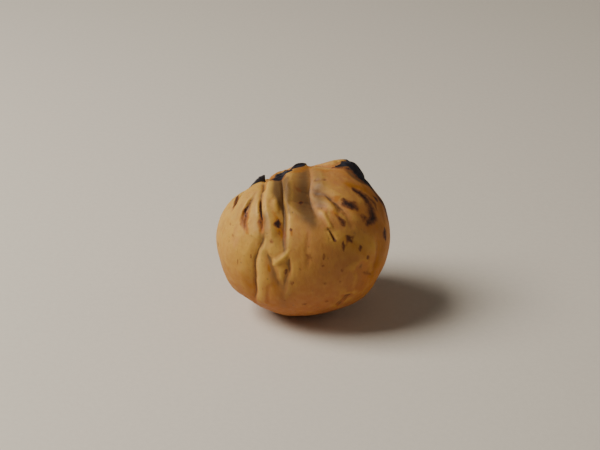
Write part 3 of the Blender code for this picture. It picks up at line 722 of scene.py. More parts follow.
def flank_marks():
    """A few spots on the two flanks, and painted shade in their folds."""
    return stains("scorch", "front", [
        ([(-28.0, 5.4), (-28.4, 3.4)], (0.5, 0.7), 0.75),
        ([(-25.4, 1.2), (-25.5, 0.6)], 0.5, 0.5),
        ([(-30.2, -4.6)], 0.6, 0.5),
        ([(-31.4, 3.2), (-31.6, 1.6)], 0.6, 0.7),
        ([(27.8, 5.0), (28.5, 2.6)], (0.6, 0.9), 0.8),
        ([(25.6, -1.6), (25.6, -2.4)], 0.6, 0.6),
        ([(31.3, 1.4), (31.0, -0.6)], 0.7, 0.65),
        ([(29.4, -8.2)], 0.5, 0.45),
    # painted shade in the folds of the flanks
    ]) + stains("hollow", "front", [
        ([(-27.0, 13.0), (-28.4, 6.0), (-28.4, 0.0), (-27.4, -5.0)], (0.8, 1.2, 1.1, 0.7), 0.45),
        ([(-31.8, 8.0), (-31.8, 1.0)], 0.8, 0.4),
        ([(27.0, 9.0), (28.4, 3.4), (28.2, -3.0)], (0.8, 1.1, 0.7), 0.45),
        ([(31.8, 6.4), (31.2, -1.0), (29.6, -6.6)], (0.6, 0.8, 0.6), 0.4),
    ]) + stains("toast", "front", [
        ([(-28.2, 4.0), (-28.6, 1.0)], (1.4, 1.2), 0.8),
        ([(28.2, 3.4), (29.2, -0.6)], (1.8, 1.4), 0.85),
    ])


def back_marks():
    """The back: the scorch of the crown runs on, with a few spots of its own, painted shade in its folds
    and painted light on its crests.
    """
    return stains("char", "back", [
        ([(-12.6, 6.4), (-10.0, 8.2), (-7.0, 8.0), (-5.0, 6.8)], (1.0, 1.7, 1.5, 0.8)),
        ([(-1.4, 8.6), (0.6, 8.9), (2.4, 8.0)], (0.9, 1.5, 0.8)),
        ([(9.2, 7.6), (10.6, 7.2), (11.8, 6.0)], (0.8, 1.2, 0.8), 0.95),
    ]) + stains("scorch", "back", [
        ([(-13.6, 5.2), (-10.6, 7.2), (-6.6, 7.0), (-4.2, 5.8)], (1.4, 2.2, 2.2, 1.2), 0.8),
        ([(-2.4, 8.2), (0.8, 8.0), (3.4, 6.8)], (1.4, 2.0, 1.2), 0.75),
        ([(9.0, 7.4), (10.8, 6.6), (12.6, 4.4)], (1.4, 1.8, 1.0), 0.8),
        ([(-12.8, 3.0), (-12.4, 0.8)], (1.3, 1.0), 0.85),
        ([(-15.4, 3.6), (-15.0, 2.2)], (1.2, 0.9), 0.8),
        ([(-9.4, 3.4), (-9.0, 1.4)], (0.9, 0.8), 0.75),
        ([(7.7, 6.8), (8.2, 4.8), (8.3, 3.0)], (0.2, 0.45, 0.35), 0.95),
        ([(-5.4, 5.0), (-5.5, 2.0)], (0.3, 0.45), 0.85),
        ([(2.2, 6.0), (2.9, 2.4)], (0.7, 0.8), 0.5),
        ([(5.2, 0.8), (5.6, -0.4)], 0.8, 0.75),
        ([(0.2, 1.6), (0.4, 0.8)], 0.7, 0.65),
        ([(-2.2, -5.0), (-2.0, -5.5)], 0.5, 0.5),
        ([(11.6, -1.8), (11.8, -2.4)], 0.6, 0.5),
        ([(-12.2, -5.0), (-12.0, -5.6)], 0.6, 0.5),
        ([(6.8, -10.4), (7.0, -10.8)], 0.5, 0.45),
        ([(-5.8, -12.2), (-5.6, -12.6)], 0.5, 0.45),
    # painted shade in the folds of the back
    ]) + stains("hollow", "back", [
        ([(0.8, 8.0), (1.6, 4.0), (1.8, -1.0)], (2.0, 2.6, 1.4), 0.9),
        ([(-5.2, 5.0), (-4.8, 0.0), (-4.8, -5.0)], (1.0, 1.2, 0.7), 0.8),
        ([(-9.4, 7.0), (-10.0, 2.0), (-9.4, -4.0)], (1.0, 1.2, 0.7), 0.6),
        ([(8.0, 4.6), (8.8, 0.0), (9.6, -4.0)], (1.0, 1.2, 0.7), 0.6),
    # painted light on the crests of the back
    ]) + stains("pale", "back", [
        ([(4.6, 8.0), (5.6, 4.0), (6.0, 0.0)], 0.8, 0.6),
        ([(-3.6, 6.0), (-3.4, 1.0), (-3.6, -4.0)], 0.7, 0.7),
        ([(-11.4, 4.0), (-11.6, -1.0), (-10.6, -7.0)], 0.8, 0.6),
    ]) + stains("toast", "back", [
        ([(-15.4, 4.4), (-12.6, 3.0), (-11.6, -1.0)], (2.0, 2.6, 2.0), 0.85),
        ([(-12.0, 7.0), (-7.4, 7.8), (-3.0, 7.0)], (2.4, 2.8, 2.0), 0.85),
        ([(-1.6, 8.4), (1.4, 7.4), (4.6, 6.0)], (2.0, 2.4, 1.6), 0.8),
        ([(8.0, 8.4), (11.4, 6.0), (13.0, 2.4)], (2.0, 2.4, 1.6), 0.8),
        ([(8.2, 3.0), (8.6, 0.6)], (0.9, 1.1), 0.95),
        ([(-5.4, 2.2), (-5.0, -0.8)], (0.9, 1.2), 0.9),
        ([(5.2, 1.0), (5.8, -1.4)], (1.4, 1.0), 0.8),
        ([(2.6, 3.6), (2.4, -3.0)], (1.8, 1.6), 0.5),
        ([(-9.4, -4.0), (-8.0, -10.6)], (1.8, 2.2), 0.5),
    ])


def roast_marks():
    """Every stain of the roast, with the painted shade and the painted light."""
    return (burnt_crown() + crown_scorch() + shoulder_blotches() + groove_scorch() + front_spots()
            + painted_shade_of_front() + painted_light_on_crests() + toast_blooms() + flank_marks() + back_marks())


# ---- node building --------------------------------------------------------------------
def opaque(colour):
    """A colour with full opacity."""
    return (*tuple(colour)[:3], 1.0)


class Nodes:
    """Short words for the nodes of a tree."""

    def __init__(self, tree):
        self.tree = tree

    def set_inputs(self, node, inputs):
        """Join or set the inputs of a node."""
        for key, value in inputs.items():
            if isinstance(value, bpy.types.NodeSocket):
                self.tree.links.new(value, node.inputs[key])
            else:
                node.inputs[key].default_value = value

    def add(self, kind, inputs=None, **settings):
        """The outputs of a new node, its settings made and its inputs joined or set."""
        made = self.tree.nodes.new(kind)
        for name, value in settings.items():
            setattr(made, name, value)
        self.set_inputs(made, inputs or {})
        return made.outputs

    def math(self, operation, first, second):
        """One sum of two numbers."""
        return self.add("ShaderNodeMath", {0: first, 1: second}, operation=operation)[0]

    def plus(self, first, second):
        """The first number and the second together."""
        return self.math("ADD", first, second)

    def less(self, first, second):
        """The first number without the second."""
        return self.math("SUBTRACT", first, second)

    def times(self, first, second):
        """The first number times the second."""
        return self.math("MULTIPLY", first, second)

    def ramp(self, value, low, high, to_low=0.0, to_high=1.0):
        """A smooth rise between two values."""
        return self.add("ShaderNodeMapRange", {0: value, 1: low, 2: high, 3: to_low, 4: to_high},
                        interpolation_type="SMOOTHSTEP")[0]

    def noise(self, where, scale, detail=3.0, roughness=0.6, distortion=0.0):
        """Cloudy noise from 0 to 1, with this many clouds to a unit of the place."""
        return self.add("ShaderNodeTexNoise",
                        {"Vector": where, "Scale": scale, "Detail": detail, "Roughness": roughness,
                         "Distortion": distortion})[0]

    def scaled(self, vector, factor):
        """A vector made longer."""
        return self.add("ShaderNodeVectorMath", {0: vector, "Scale": factor}, operation="SCALE")[0]

    def in_millimetres(self, where):
        """A place in metres as millimetres of the design."""
        return self.scaled(where, 1.0 / MM)

    def drawn_up(self, where, share):
        """A place whose height counts for this share of itself, so that a pattern there
        is drawn out upwards."""
        return self.add("ShaderNodeVectorMath", {0: where, 1: (1.0, 1.0, share)},
                        operation="MULTIPLY")[0]

    def mix(self, share, first, second):
        """The second colour over the first, by this share."""
        return self.add("ShaderNodeMix", {0: share, 6: first, 7: second}, data_type="RGBA")[2]

    def tinted(self, colour, tint, value, low, high, strength=1.0):
        """The colour with a tint over it, from none where the value is at its low end to
        this strength at its high end."""
        return self.mix(self.ramp(value, low, high, 0.0, strength), colour, opaque(tint))

    def frayed(self, stain, fringe, full):
        """A stain with its edge frayed by noise, fully so where it is this strong."""
        return self.plus(stain, self.times(fringe, self.ramp(stain, 0.0, full)))

    def value_of(self, name):
        """A number kept on the surface."""
        return self.add("ShaderNodeAttribute", attribute_name=name)["Fac"]

    def bump(self, height, strength, distance):
        """A surface normal shaken by this height."""
        return self.add("ShaderNodeBump",
                        {"Height": height, "Strength": strength, "Distance": distance})[0]


def new_material(name):
    """A material: itself, its nodes, its Principled shader, and the place of each point
    on the object, in metres."""
    material = bpy.data.materials.new(name)
    material.use_nodes = True
    nodes = Nodes(material.node_tree)
    place_on_object = nodes.add("ShaderNodeTexCoord")["Object"]
    return material, nodes, material.node_tree.nodes["Principled BSDF"], place_on_object


# ---- the settings that a maker may change ------------------------------------------------
class NutFormSettings(bpy.types.PropertyGroup):
    """Sizes of the kernel's surface."""

    crease_share: FloatProperty(
        name="Crease depth", description="Depth of the fine creases, as a share of their own",
        default=1.0, min=0.0, max=2.0, subtype="FACTOR")
    lump_height: FloatProperty(
        name="Lump height", description="Height of the soft lumps of the flesh",
        default=0.22 * MM, unit="LENGTH", precision=6)
    grain_height: FloatProperty(
        name="Grain height", description="Height of the fine upright grain",
        default=0.075 * MM, unit="LENGTH", precision=6)
    crust_height: FloatProperty(
        name="Crust height", description="Height of the blisters where the flesh is burnt",
        default=0.20 * MM, unit="LENGTH", precision=6)
    pore_spacing: FloatProperty(
        name="Pore spacing", description="Least distance between two pores",
        default=2.4 * MM, unit="LENGTH", precision=6)
    pore_width: FloatProperty(
        name="Pore width", description="Width of a pore at its mouth",
        default=0.45 * MM, unit="LENGTH", precision=6)
    pore_depth: FloatProperty(
        name="Pore depth", description="Depth of the deepest pores",
        default=0.07 * MM, unit="LENGTH", precision=6)
    pore_seed: IntProperty(name="Pore seed", description="Which scatter of pores is used", default=7)


class NutColourSettings(bpy.types.PropertyGroup):
    """Colours of the flesh and of the roast."""

    flesh: FloatVectorProperty(
        name="Flesh", description="Pale flesh", subtype="COLOR", size=3, min=0.0, max=1.0,
        default=(0.56, 0.292, 0.046))
    # cream is the flesh's own mottle, and the painted light on crests, lips and banks
    cream: FloatVectorProperty(
        name="Cream", description="Lighter crests and lips", subtype="COLOR", size=3, min=0.0, max=1.0,
        default=(0.68, 0.400, 0.074))
    tan: FloatVectorProperty(
        name="Tan", description="Darker, warmer patches of the flesh", subtype="COLOR", size=3,
        min=0.0, max=1.0, default=(0.39, 0.166, 0.042))
    # foot is painted shade and orange bounce light, darker and redder towards the bottom
    foot: FloatVectorProperty(
        name="Foot", description="Redder tan of the lower half", subtype="COLOR", size=3,
        min=0.0, max=1.0, default=(0.40, 0.122, 0.017))
    # hollow is the painted shade of creases, folds and hollows
    hollow: FloatVectorProperty(
        name="Hollow", description="Flesh at the bottom of the folds", subtype="COLOR", size=3,
        min=0.0, max=1.0, default=(0.130, 0.068, 0.028))
    toast: FloatVectorProperty(
        name="Toast", description="Warm bloom round the scorched places", subtype="COLOR", size=3,
        min=0.0, max=1.0, default=(0.43, 0.148, 0.012))
    scorch: FloatVectorProperty(
        name="Scorch", description="Dark brown of the scorched places", subtype="COLOR", size=3,
        min=0.0, max=1.0, default=(0.115, 0.040, 0.017))
    char: FloatVectorProperty(
        name="Char", description="Black of the burnt places", subtype="COLOR", size=3, min=0.0,
        max=1.0, default=(0.013, 0.010, 0.013))


class NutStageSettings(bpy.types.PropertyGroup):
    """Light and floor."""

    floor_colour: FloatVectorProperty(
        name="Floor", description="Colour of the floor", subtype="COLOR", size=3, min=0.0, max=1.0,
        default=(0.74, 0.67, 0.56))
    key_power: FloatProperty(
        name="Key light", description="Power of the soft key light", default=3.2, unit="POWER")
    fill_power: FloatProperty(
        name="Fill light", description="Power of the weak light from the far side", default=0.35,
        unit="POWER")
    room_strength: FloatProperty(
        name="Room light", description="Strength of the light from all round", default=0.07)


# ---- the kernel ----------------------------------------------------------------------
# The kernel is made on a ball cut this fine, and keeps this share of its faces.
FINE_SUBDIVISIONS = 8
KEPT_SHARE = 0.58
# hollow is painted shade and pale is painted light; the others are stains of the roast.
STAIN_KINDS = ("char", "scorch", "toast", "hollow", "pale")
# A stain narrower than this, in millimetres, lies along its fold.
NARROW = 0.62
# The relief is measured against the surface smoothed for so many rounds, is evened for
# a few more, and counts as full where a crest stands out this far, in millimetres.
SMOOTHING_ROUNDS = 12
EVENING_ROUNDS = 3
FULL_RELIEF = 0.06


def new_object(name, data):
    """An object for a mesh, a lamp or a camera, in the scene."""
    made = bpy.data.objects.new(name, data)
    bpy.context.scene.collection.objects.link(made)
    return made


def coordinates(mesh):
    """The places of a mesh's vertices."""
    found = np.empty(len(mesh.vertices) * 3, np.float32)
    mesh.vertices.foreach_get("co", found)
    return found.reshape(-1, 3).astype(float)


def keep_value(mesh, name, values):
    """Keep one number for each vertex on the mesh."""
    attribute = mesh.attributes.get(name) or mesh.attributes.new(name, "FLOAT", "POINT")
    attribute.data.foreach_set("value", np.asarray(values, np.float32))


def relief(mesh):
    """How far each vertex stands out from those around it, from -1 in a crease to 1
    on a crest."""
    points = coordinates(mesh)
    normals = np.empty(len(points) * 3, np.float32)
    mesh.vertices.foreach_get("normal", normals)
    normals = normals.reshape(-1, 3)
    edges = np.empty(len(mesh.edges) * 2, np.int32)
    mesh.edges.foreach_get("vertices", edges)
    one, other = edges.reshape(-1, 2).T
    count = np.bincount(np.concatenate([one, other]), minlength=len(points))

    def around(values):
        """The mean of what lies round each vertex."""
        total = np.zeros_like(values)
        np.add.at(total, one, values[other])
        np.add.at(total, other, values[one])
        return total / (count[:, None] if values.ndim > 1 else count)

    smooth = points
    for _ in range(SMOOTHING_ROUNDS):
        smooth = around(smooth)
    height = np.sum((points - smooth) * normals, axis=1) / MM
    for _ in range(EVENING_ROUNDS):
        height = 0.5 * (height + around(height))
    return np.clip(height / FULL_RELIEF, -1.0, 1.0)


# The sizes that the skin is given.  Pores lie this close before they are spaced out, and
# the smallest is this share of the widest.
SKIN_SIZES = ("Lump height", "Grain height", "Crust height", "Pore spacing", "Pore width",
              "Pore depth")
PORES_IN_A_SQUARE_MM = 1.2
SMALLEST_PORE = 0.15


def add_skin_sockets(tree):
    """The named inputs of the skin, and its output."""
    tree.interface.new_socket("Geometry", in_out="INPUT", socket_type="NodeSocketGeometry")
    for name in SKIN_SIZES:
        socket = tree.interface.new_socket(name, in_out="INPUT", socket_type="NodeSocketFloat")
        socket.subtype = "DISTANCE"
    tree.interface.new_socket("Pore seed", in_out="INPUT", socket_type="NodeSocketInt")
    tree.interface.new_socket("Material", in_out="INPUT", socket_type="NodeSocketMaterial")
    tree.interface.new_socket("Geometry", in_out="OUTPUT", socket_type="NodeSocketGeometry")


def strewn_pores(nodes, given, position):
    """Pores strewn over the surface: how deep each place lies in one, from 0 to 1."""
    scatter = nodes.add("GeometryNodeDistributePointsOnFaces",
                        {"Mesh": given["Geometry"], "Distance Min": given["Pore spacing"],
                         "Density Max": PORES_IN_A_SQUARE_MM / MM ** 2, "Seed": given["Pore seed"]},
                        distribute_method="POISSON")["Points"]
    nearest = nodes.add("GeometryNodeSampleNearest", {"Geometry": scatter}, domain="POINT")[0]
    mouth = nodes.add("GeometryNodeSampleIndex",
                      {"Geometry": scatter, "Value": position, "Index": nearest},
                      data_type="FLOAT_VECTOR", domain="POINT")[0]
    away = nodes.add("ShaderNodeVectorMath", {0: position, 1: mouth}, operation="DISTANCE")["Value"]
    size = nodes.add("FunctionNodeRandomValue",
                     {"Min": SMALLEST_PORE, "Max": 1.0, "ID": nearest, "Seed": given["Pore seed"]},
                     data_type="FLOAT")["Value"]
    half = nodes.times(nodes.times(given["Pore width"], 0.5), size)
    pit = nodes.ramp(nodes.math("DIVIDE", away, half), 0.1, 1.0, to_low=1.0, to_high=0.0)
    return nodes.times(pit, size)


def nut_skin_tree():
    """Geometry nodes that give a smooth kernel its lumps, grain, pores and crust."""
    tree = bpy.data.node_groups.new("nut_skin", "GeometryNodeTree")
    add_skin_sockets(tree)
    nodes = Nodes(tree)
    given = nodes.add("NodeGroupInput")
    position = nodes.add("GeometryNodeInputPosition")[0]
    where = nodes.in_millimetres(position)
    pores = strewn_pores(nodes, given, position)
    char = nodes.add("GeometryNodeInputNamedAttribute", {"Name": "char"}, data_type="FLOAT")[0]

    lumps = nodes.less(nodes.noise(where, 0.32, detail=2.0, roughness=0.5), 0.5)
    upright = nodes.drawn_up(where, 0.28)
    grain = nodes.less(nodes.noise(upright, 1.5, roughness=0.62, distortion=0.3), 0.5)
    blisters = nodes.less(nodes.noise(where, 1.7), 0.42)
    crust = nodes.times(blisters, nodes.ramp(char, 0.15, 0.6))
    height = nodes.times(lumps, given["Lump height"])
    height = nodes.plus(height, nodes.times(grain, given["Grain height"]))
    height = nodes.plus(height, nodes.times(crust, given["Crust height"]))
    height = nodes.less(height, nodes.times(pores, given["Pore depth"]))
    push = nodes.scaled(nodes.add("GeometryNodeInputNormal")[0], height)

    pored = nodes.add("GeometryNodeStoreNamedAttribute",
                      {"Geometry": given["Geometry"], "Name": "pore", "Value": pores},
                      data_type="FLOAT", domain="POINT")[0]
    raised = nodes.add("GeometryNodeSetPosition", {"Geometry": pored, "Offset": push})[0]
    whole = nodes.add("GeometryNodeRealizeInstances", {"Geometry": raised})[0]
    dressed = nodes.add("GeometryNodeSetMaterial",
                        {"Geometry": whole, "Material": given["Material"]})[0]
    nodes.add("NodeGroupOutput", {"Geometry": dressed})
    return tree


# The lesser colours of the flesh, of what is pricked into it, of the roast, and of the painted shade and
# bounce light of its right side.
OLIVE = (0.40, 0.235, 0.058)
ROSY = (0.58, 0.270, 0.090)
PAINTED_WARM_SHADE = (0.42, 0.150, 0.054)
PAINTED_ORANGE_BOUNCE = (0.68, 0.240, 0.036)
SCRATCH = (0.24, 0.120, 0.045)
PORE = (0.20, 0.115, 0.035)
PINPRICK = (0.20, 0.13, 0.055)
SCORCH_HALO = (0.25, 0.082, 0.024)
DEEP_SCORCH = (0.026, 0.012, 0.011)
SOOT = (0.070, 0.042, 0.022)
BLUISH_CHAR = (0.020, 0.018, 0.026)


def raw_flesh(nodes, where, upright, colours):
    """The colour of the flesh: wide patches, upright streaks and fine mottling of its own,
    with painted shade and orange bounce light that make it redder and darker at the foot
    and towards the right, and a brighter painted orange bounce on the far right."""
    patches = nodes.noise(where, 0.16, roughness=0.55)
    streaks = nodes.noise(upright, 0.75, detail=4.0, distortion=0.4)
    mottle = nodes.noise(where, 0.9)
    olive = nodes.noise(where, 0.45)
    rosy = nodes.noise(upright, 0.55, distortion=0.6)
    axes = nodes.add("ShaderNodeSeparateXYZ", {0: where})
    colour = nodes.tinted(opaque(colours.flesh), colours.tan, patches, 0.42, 0.66, strength=0.55)
    colour = nodes.tinted(colour, colours.tan, streaks, 0.46, 0.70, strength=0.48)
    colour = nodes.tinted(colour, colours.cream, mottle, 0.30, 0.70, strength=0.40)
    colour = nodes.tinted(colour, OLIVE, olive, 0.54, 0.70, strength=0.36)
    colour = nodes.tinted(colour, ROSY, rosy, 0.54, 0.72, strength=0.50)
    # painted shade and orange bounce light: redder and darker towards the bottom
    low = nodes.ramp(axes["Z"], 5.0, 20.0, to_low=0.88, to_high=0.0)
    colour = nodes.mix(low, colour, opaque(colours.foot))
    # painted warm shade, darker towards the right, away from the key light
    colour = nodes.tinted(colour, PAINTED_WARM_SHADE, axes["X"], -12.0, 7.0, strength=0.64)
    # painted orange bounce light on the far right flank
    return nodes.tinted(colour, PAINTED_ORANGE_BOUNCE, axes["X"], 8.0, 15.0, strength=0.62)


def folded_flesh(nodes, colour, colours):
    """The colour with painted light on its crests and painted shade in its creases and hollows."""
    stands_out = nodes.value_of("relief")
    # painted light on the crests and painted shade in the creases, read from the relief
    colour = nodes.tinted(colour, colours.cream, stands_out, 0.10, 0.9, strength=0.42)
    colour = nodes.tinted(colour, colours.hollow, stands_out, -0.15, -1.0, strength=0.75)
    # painted shade of the folds and hollows
    colour = nodes.tinted(colour, colours.hollow, nodes.value_of("hollow"), 0.0, 0.50, strength=0.86)
    # painted light on crests, lips and banks
    return nodes.tinted(colour, colours.cream, nodes.value_of("pale"), 0.05, 0.8, strength=0.6)


def pinpricks_in(nodes, where):
    """Tiny dark pricks, here and there, from 0 to 1."""
    cells = nodes.add("ShaderNodeTexVoronoi", {"Vector": where, "Scale": 0.62})
    chance = nodes.add("ShaderNodeSeparateColor", {0: cells["Color"]})[0]
    dots = nodes.ramp(cells["Distance"], 0.05, 0.16, to_low=0.55, to_high=0.0)
    return nodes.times(dots, nodes.ramp(chance, 0.55, 0.8))


def scorched(nodes, colour, scorch, colours):
    """The colour under the scorch: a warm halo, then brown, then nearly black."""
    colour = nodes.tinted(colour, SCORCH_HALO, scorch, 0.06, 0.42, strength=0.80)
    colour = nodes.tinted(colour, colours.scorch, scorch, 0.30, 0.66, strength=0.92)
    return nodes.tinted(colour, DEEP_SCORCH, scorch, 0.62, 0.95, strength=0.9)


def charred(nodes, colour, burnt, char, where, colours):
    """The colour under the char: soot around it, and blue-black where it is full."""
    colour = nodes.tinted(colour, SOOT, burnt, 0.10, 0.32, strength=0.85)
    bluish = nodes.noise(where, 0.7, detail=2.0, roughness=0.5)
    black = nodes.tinted(opaque(colours.char), BLUISH_CHAR, bluish, 0.40, 0.60)
    return nodes.mix(char, colour, black)


def flesh_bump(nodes, where, upright, char, pinpricks):
    """The finest relief: fine grain, pinpricks and the cracks of the burnt crust."""
    grain = nodes.noise(upright, 4.5, detail=4.0, roughness=0.65)
    fine = nodes.noise(where, 9.0)
    crackle = nodes.times(nodes.noise(where, 5.0, detail=5.0, roughness=0.7), char)
    height = nodes.plus(nodes.times(grain, 0.5), nodes.times(fine, 0.35))
    height = nodes.plus(height, nodes.times(crackle, 1.2))
    height = nodes.less(height, nodes.times(pinpricks, 1.2))
    return nodes.bump(height, strength=0.5, distance=0.10 * MM)


def flesh_material(colours):
    """Pale, slightly waxy roasted flesh: mottled, with painted shade in its hollows, painted
    light on its crests, pinprick pores, and the toast, scorch and char of the roast."""
    material, nodes, shader, place_on_object = new_material("roasted_flesh")
    where = nodes.in_millimetres(place_on_object)
    upright = nodes.drawn_up(where, 0.25)
    colour = raw_flesh(nodes, where, upright, colours)
    colour = folded_flesh(nodes, colour, colours)

    # short upright scratches, pores and pinpricks
    scratches = nodes.noise(nodes.drawn_up(where, 0.35), 2.1, detail=2.0, roughness=0.55, distortion=0.5)
    pinpricks = pinpricks_in(nodes, where)
    colour = nodes.tinted(colour, SCRATCH, scratches, 0.64, 0.72, strength=0.34)
    colour = nodes.tinted(colour, PORE, nodes.value_of("pore"), 0.25, 0.9, strength=0.75)
    colour = nodes.mix(pinpricks, colour, opaque(PINPRICK))

    # the roast, with its edges broken by noise
    blotches = nodes.less(nodes.noise(where, 0.95, distortion=0.4), 0.5)
    streaks = nodes.less(nodes.noise(upright, 2.4, detail=4.0, roughness=0.65), 0.5)
    speckles = nodes.less(nodes.noise(where, 2.3, roughness=0.65, distortion=0.5), 0.5)
    broken = nodes.plus(nodes.times(blotches, 0.55), nodes.times(streaks, 0.45))
    ragged = nodes.plus(broken, nodes.times(speckles, 0.9))
    toast = nodes.plus(nodes.value_of("toast"), nodes.times(broken, 0.7))
    scorch = nodes.frayed(nodes.value_of("scorch"), ragged, full=0.6)
    burnt = nodes.frayed(nodes.value_of("char"), nodes.times(broken, 0.4), full=0.25)
    char = nodes.ramp(burnt, 0.28, 0.46)
    colour = nodes.tinted(colour, colours.toast, toast, 0.05, 0.90, strength=0.85)
    colour = scorched(nodes, colour, scorch, colours)
    colour = charred(nodes, colour, burnt, char, where, colours)

    # matt where burnt, a little waxy where pale
    roughness = nodes.ramp(nodes.noise(where, 0.8, detail=4.0), 0.3, 0.7, to_low=0.50, to_high=0.68)
    roughness = nodes.plus(roughness, nodes.times(scorch, 0.10))
    roughness = nodes.plus(roughness, nodes.times(char, 0.12))

    nodes.set_inputs(shader, {
        "Base Color": colour, "Roughness": roughness,
        "Normal": flesh_bump(nodes, where, upright, char, pinpricks),
        "Specular IOR Level": 0.28, "Subsurface Weight": 0.12,
        "Subsurface Radius": (1.0, 0.5, 0.25), "Subsurface Scale": 0.9 * MM,
    })
    return material


def stain_fields(out):
    """How strong each kind of stain is in these directions.  Stains of the folds waver
    with the folds, the others in a way of their own."""
    fields = {kind: np.zeros(len(out)) for kind in STAIN_KINDS}
    with_folds = wander(out, **FOLD_WAVER)
    alone = wander(out, **STAIN_WAVER)
    for mark in roast_marks():
        # hollow and pale, the painted shade and painted light, follow the folds.
        follows_fold = mark.kind in ("hollow", "pale") or mark.reach.max() < NARROW
        mark.lay(with_folds if follows_fold else alone, fields[mark.kind])
    return fields


def smooth_kernel(crease_share):
    """The kernel with its folds, as a fine closed mesh that keeps its stains."""
    ball = bmesh.new()
    bmesh.ops.create_icosphere(ball, subdivisions=FINE_SUBDIVISIONS, radius=1.0)
    mesh = bpy.data.meshes.new("nut_kernel_smooth")
    ball.to_mesh(mesh)
    ball.free()
    out = unit(coordinates(mesh))
    creases = fine_folds()
    for furrow in creases:
        furrow.depth = furrow.depth * crease_share
    points = kernel_surface(out, main_folds() + creases)
    mesh.vertices.foreach_set("co", in_frame(points).astype(np.float32).ravel())
    mesh.shade_smooth()
    for kind, field in stain_fields(out).items():
        keep_value(mesh, kind, field)
    return mesh


def settle(mesh):
    """Press what hangs below the floor flat."""
    points = coordinates(mesh)
    points[:, 2] = np.maximum(points[:, 2], CAD_LOW.z)
    mesh.vertices.foreach_set("co", points.astype(np.float32).ravel())
    mesh.update()


def add_skin(smooth, form, material):
    """Modifiers that give the smooth kernel its skin, and thin out its faces."""
    tree = nut_skin_tree()
    skin = smooth.modifiers.new("skin", "NODES")
    skin.node_group = tree
    given = {
        "Lump height": form.lump_height, "Grain height": form.grain_height,
        "Crust height": form.crust_height, "Pore spacing": form.pore_spacing,
        "Pore width": form.pore_width, "Pore depth": form.pore_depth,
        "Pore seed": form.pore_seed, "Material": material,
    }
    for item in tree.interface.items_tree:
        if item.in_out == "INPUT" and item.name in given:
            skin[item.identifier] = given[item.name]
    thin = smooth.modifiers.new("thin_out", "DECIMATE")
    thin.ratio = KEPT_SHARE


class CHESTNUT_OT_kernel(bpy.types.Operator):
    """Make the kernel with its folds, skin and stains"""

    bl_idname = "chestnut.kernel"
    bl_label = "Kernel"

    def execute(self, context):
        form = context.scene.nut_form
        material = flesh_material(context.scene.nut_colour)
        smooth = new_object("nut_kernel_smooth", smooth_kernel(form.crease_share))
        add_skin(smooth, form, material)
        graph = context.evaluated_depsgraph_get()
        mesh = bpy.data.meshes.new_from_object(smooth.evaluated_get(graph))
        bpy.data.objects.remove(smooth)
        mesh.name = "roasted_kernel"
        settle(mesh)
        keep_value(mesh, "relief", relief(mesh))
        mesh.shade_smooth()
        kernel = new_object("roasted_kernel", mesh)
        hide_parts(NODE)
        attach(kernel, BODY)
        return {"FINISHED"}


# ---- rims of burnt skin on the crown -------------------------------------------------------
# A rim is made of so many steps along its course and rows up its height, from this far
# under the surface, in millimetres.  Its edge has so many teeth, between these shares of
# its height, and it loses this share of its thickness from foot to edge.
RIM_STEPS = 40
RIM_ROWS = 7
RIM_ROOT = 0.45
RIM_TEETH = 12
TOOTH_SHARES = (0.86, 1.10)
RIM_TAPER = 0.75

# The lesser colours of burnt skin.
SOOTY_GREY = (0.024, 0.021, 0.028)
GREENISH_BLACK = (0.022, 0.024, 0.018)
WORN_EDGE = (0.16, 0.050, 0.030)


def burnt_material(colours):
    """Burnt skin: blue-black and flaky, with a brown foot and a worn, paler edge."""
    material, nodes, shader, place_on_object = new_material("burnt_skin")
    where = nodes.in_millimetres(place_on_object)
    clouds = nodes.noise(where, 1.1, detail=4.0)
    greenish = nodes.noise(where, 0.8, detail=2.0, roughness=0.5)
    broken = nodes.times(nodes.less(nodes.noise(where, 2.2), 0.5), 0.6)
    foot = nodes.plus(nodes.value_of("root"), broken)
    edge = nodes.plus(nodes.value_of("edge"), broken)
    flakes = nodes.noise(where, 3.0, detail=5.0, roughness=0.7)
    colour = nodes.tinted(opaque(colours.char), SOOTY_GREY, clouds, 0.35, 0.65)
    colour = nodes.tinted(colour, GREENISH_BLACK, greenish, 0.55, 0.75, strength=0.7)
    colour = nodes.tinted(colour, colours.scorch, foot, 0.45, 0.95, strength=0.9)
    colour = nodes.tinted(colour, WORN_EDGE, edge, 0.85, 1.2, strength=0.3)
    nodes.set_inputs(shader, {
        "Base Color": colour, "Roughness": nodes.ramp(clouds, 0.3, 0.7, to_low=0.50, to_high=0.78),
        "Normal": nodes.bump(flakes, strength=0.6, distance=0.15 * MM), "Specular IOR Level": 0.45,
    })
    return material


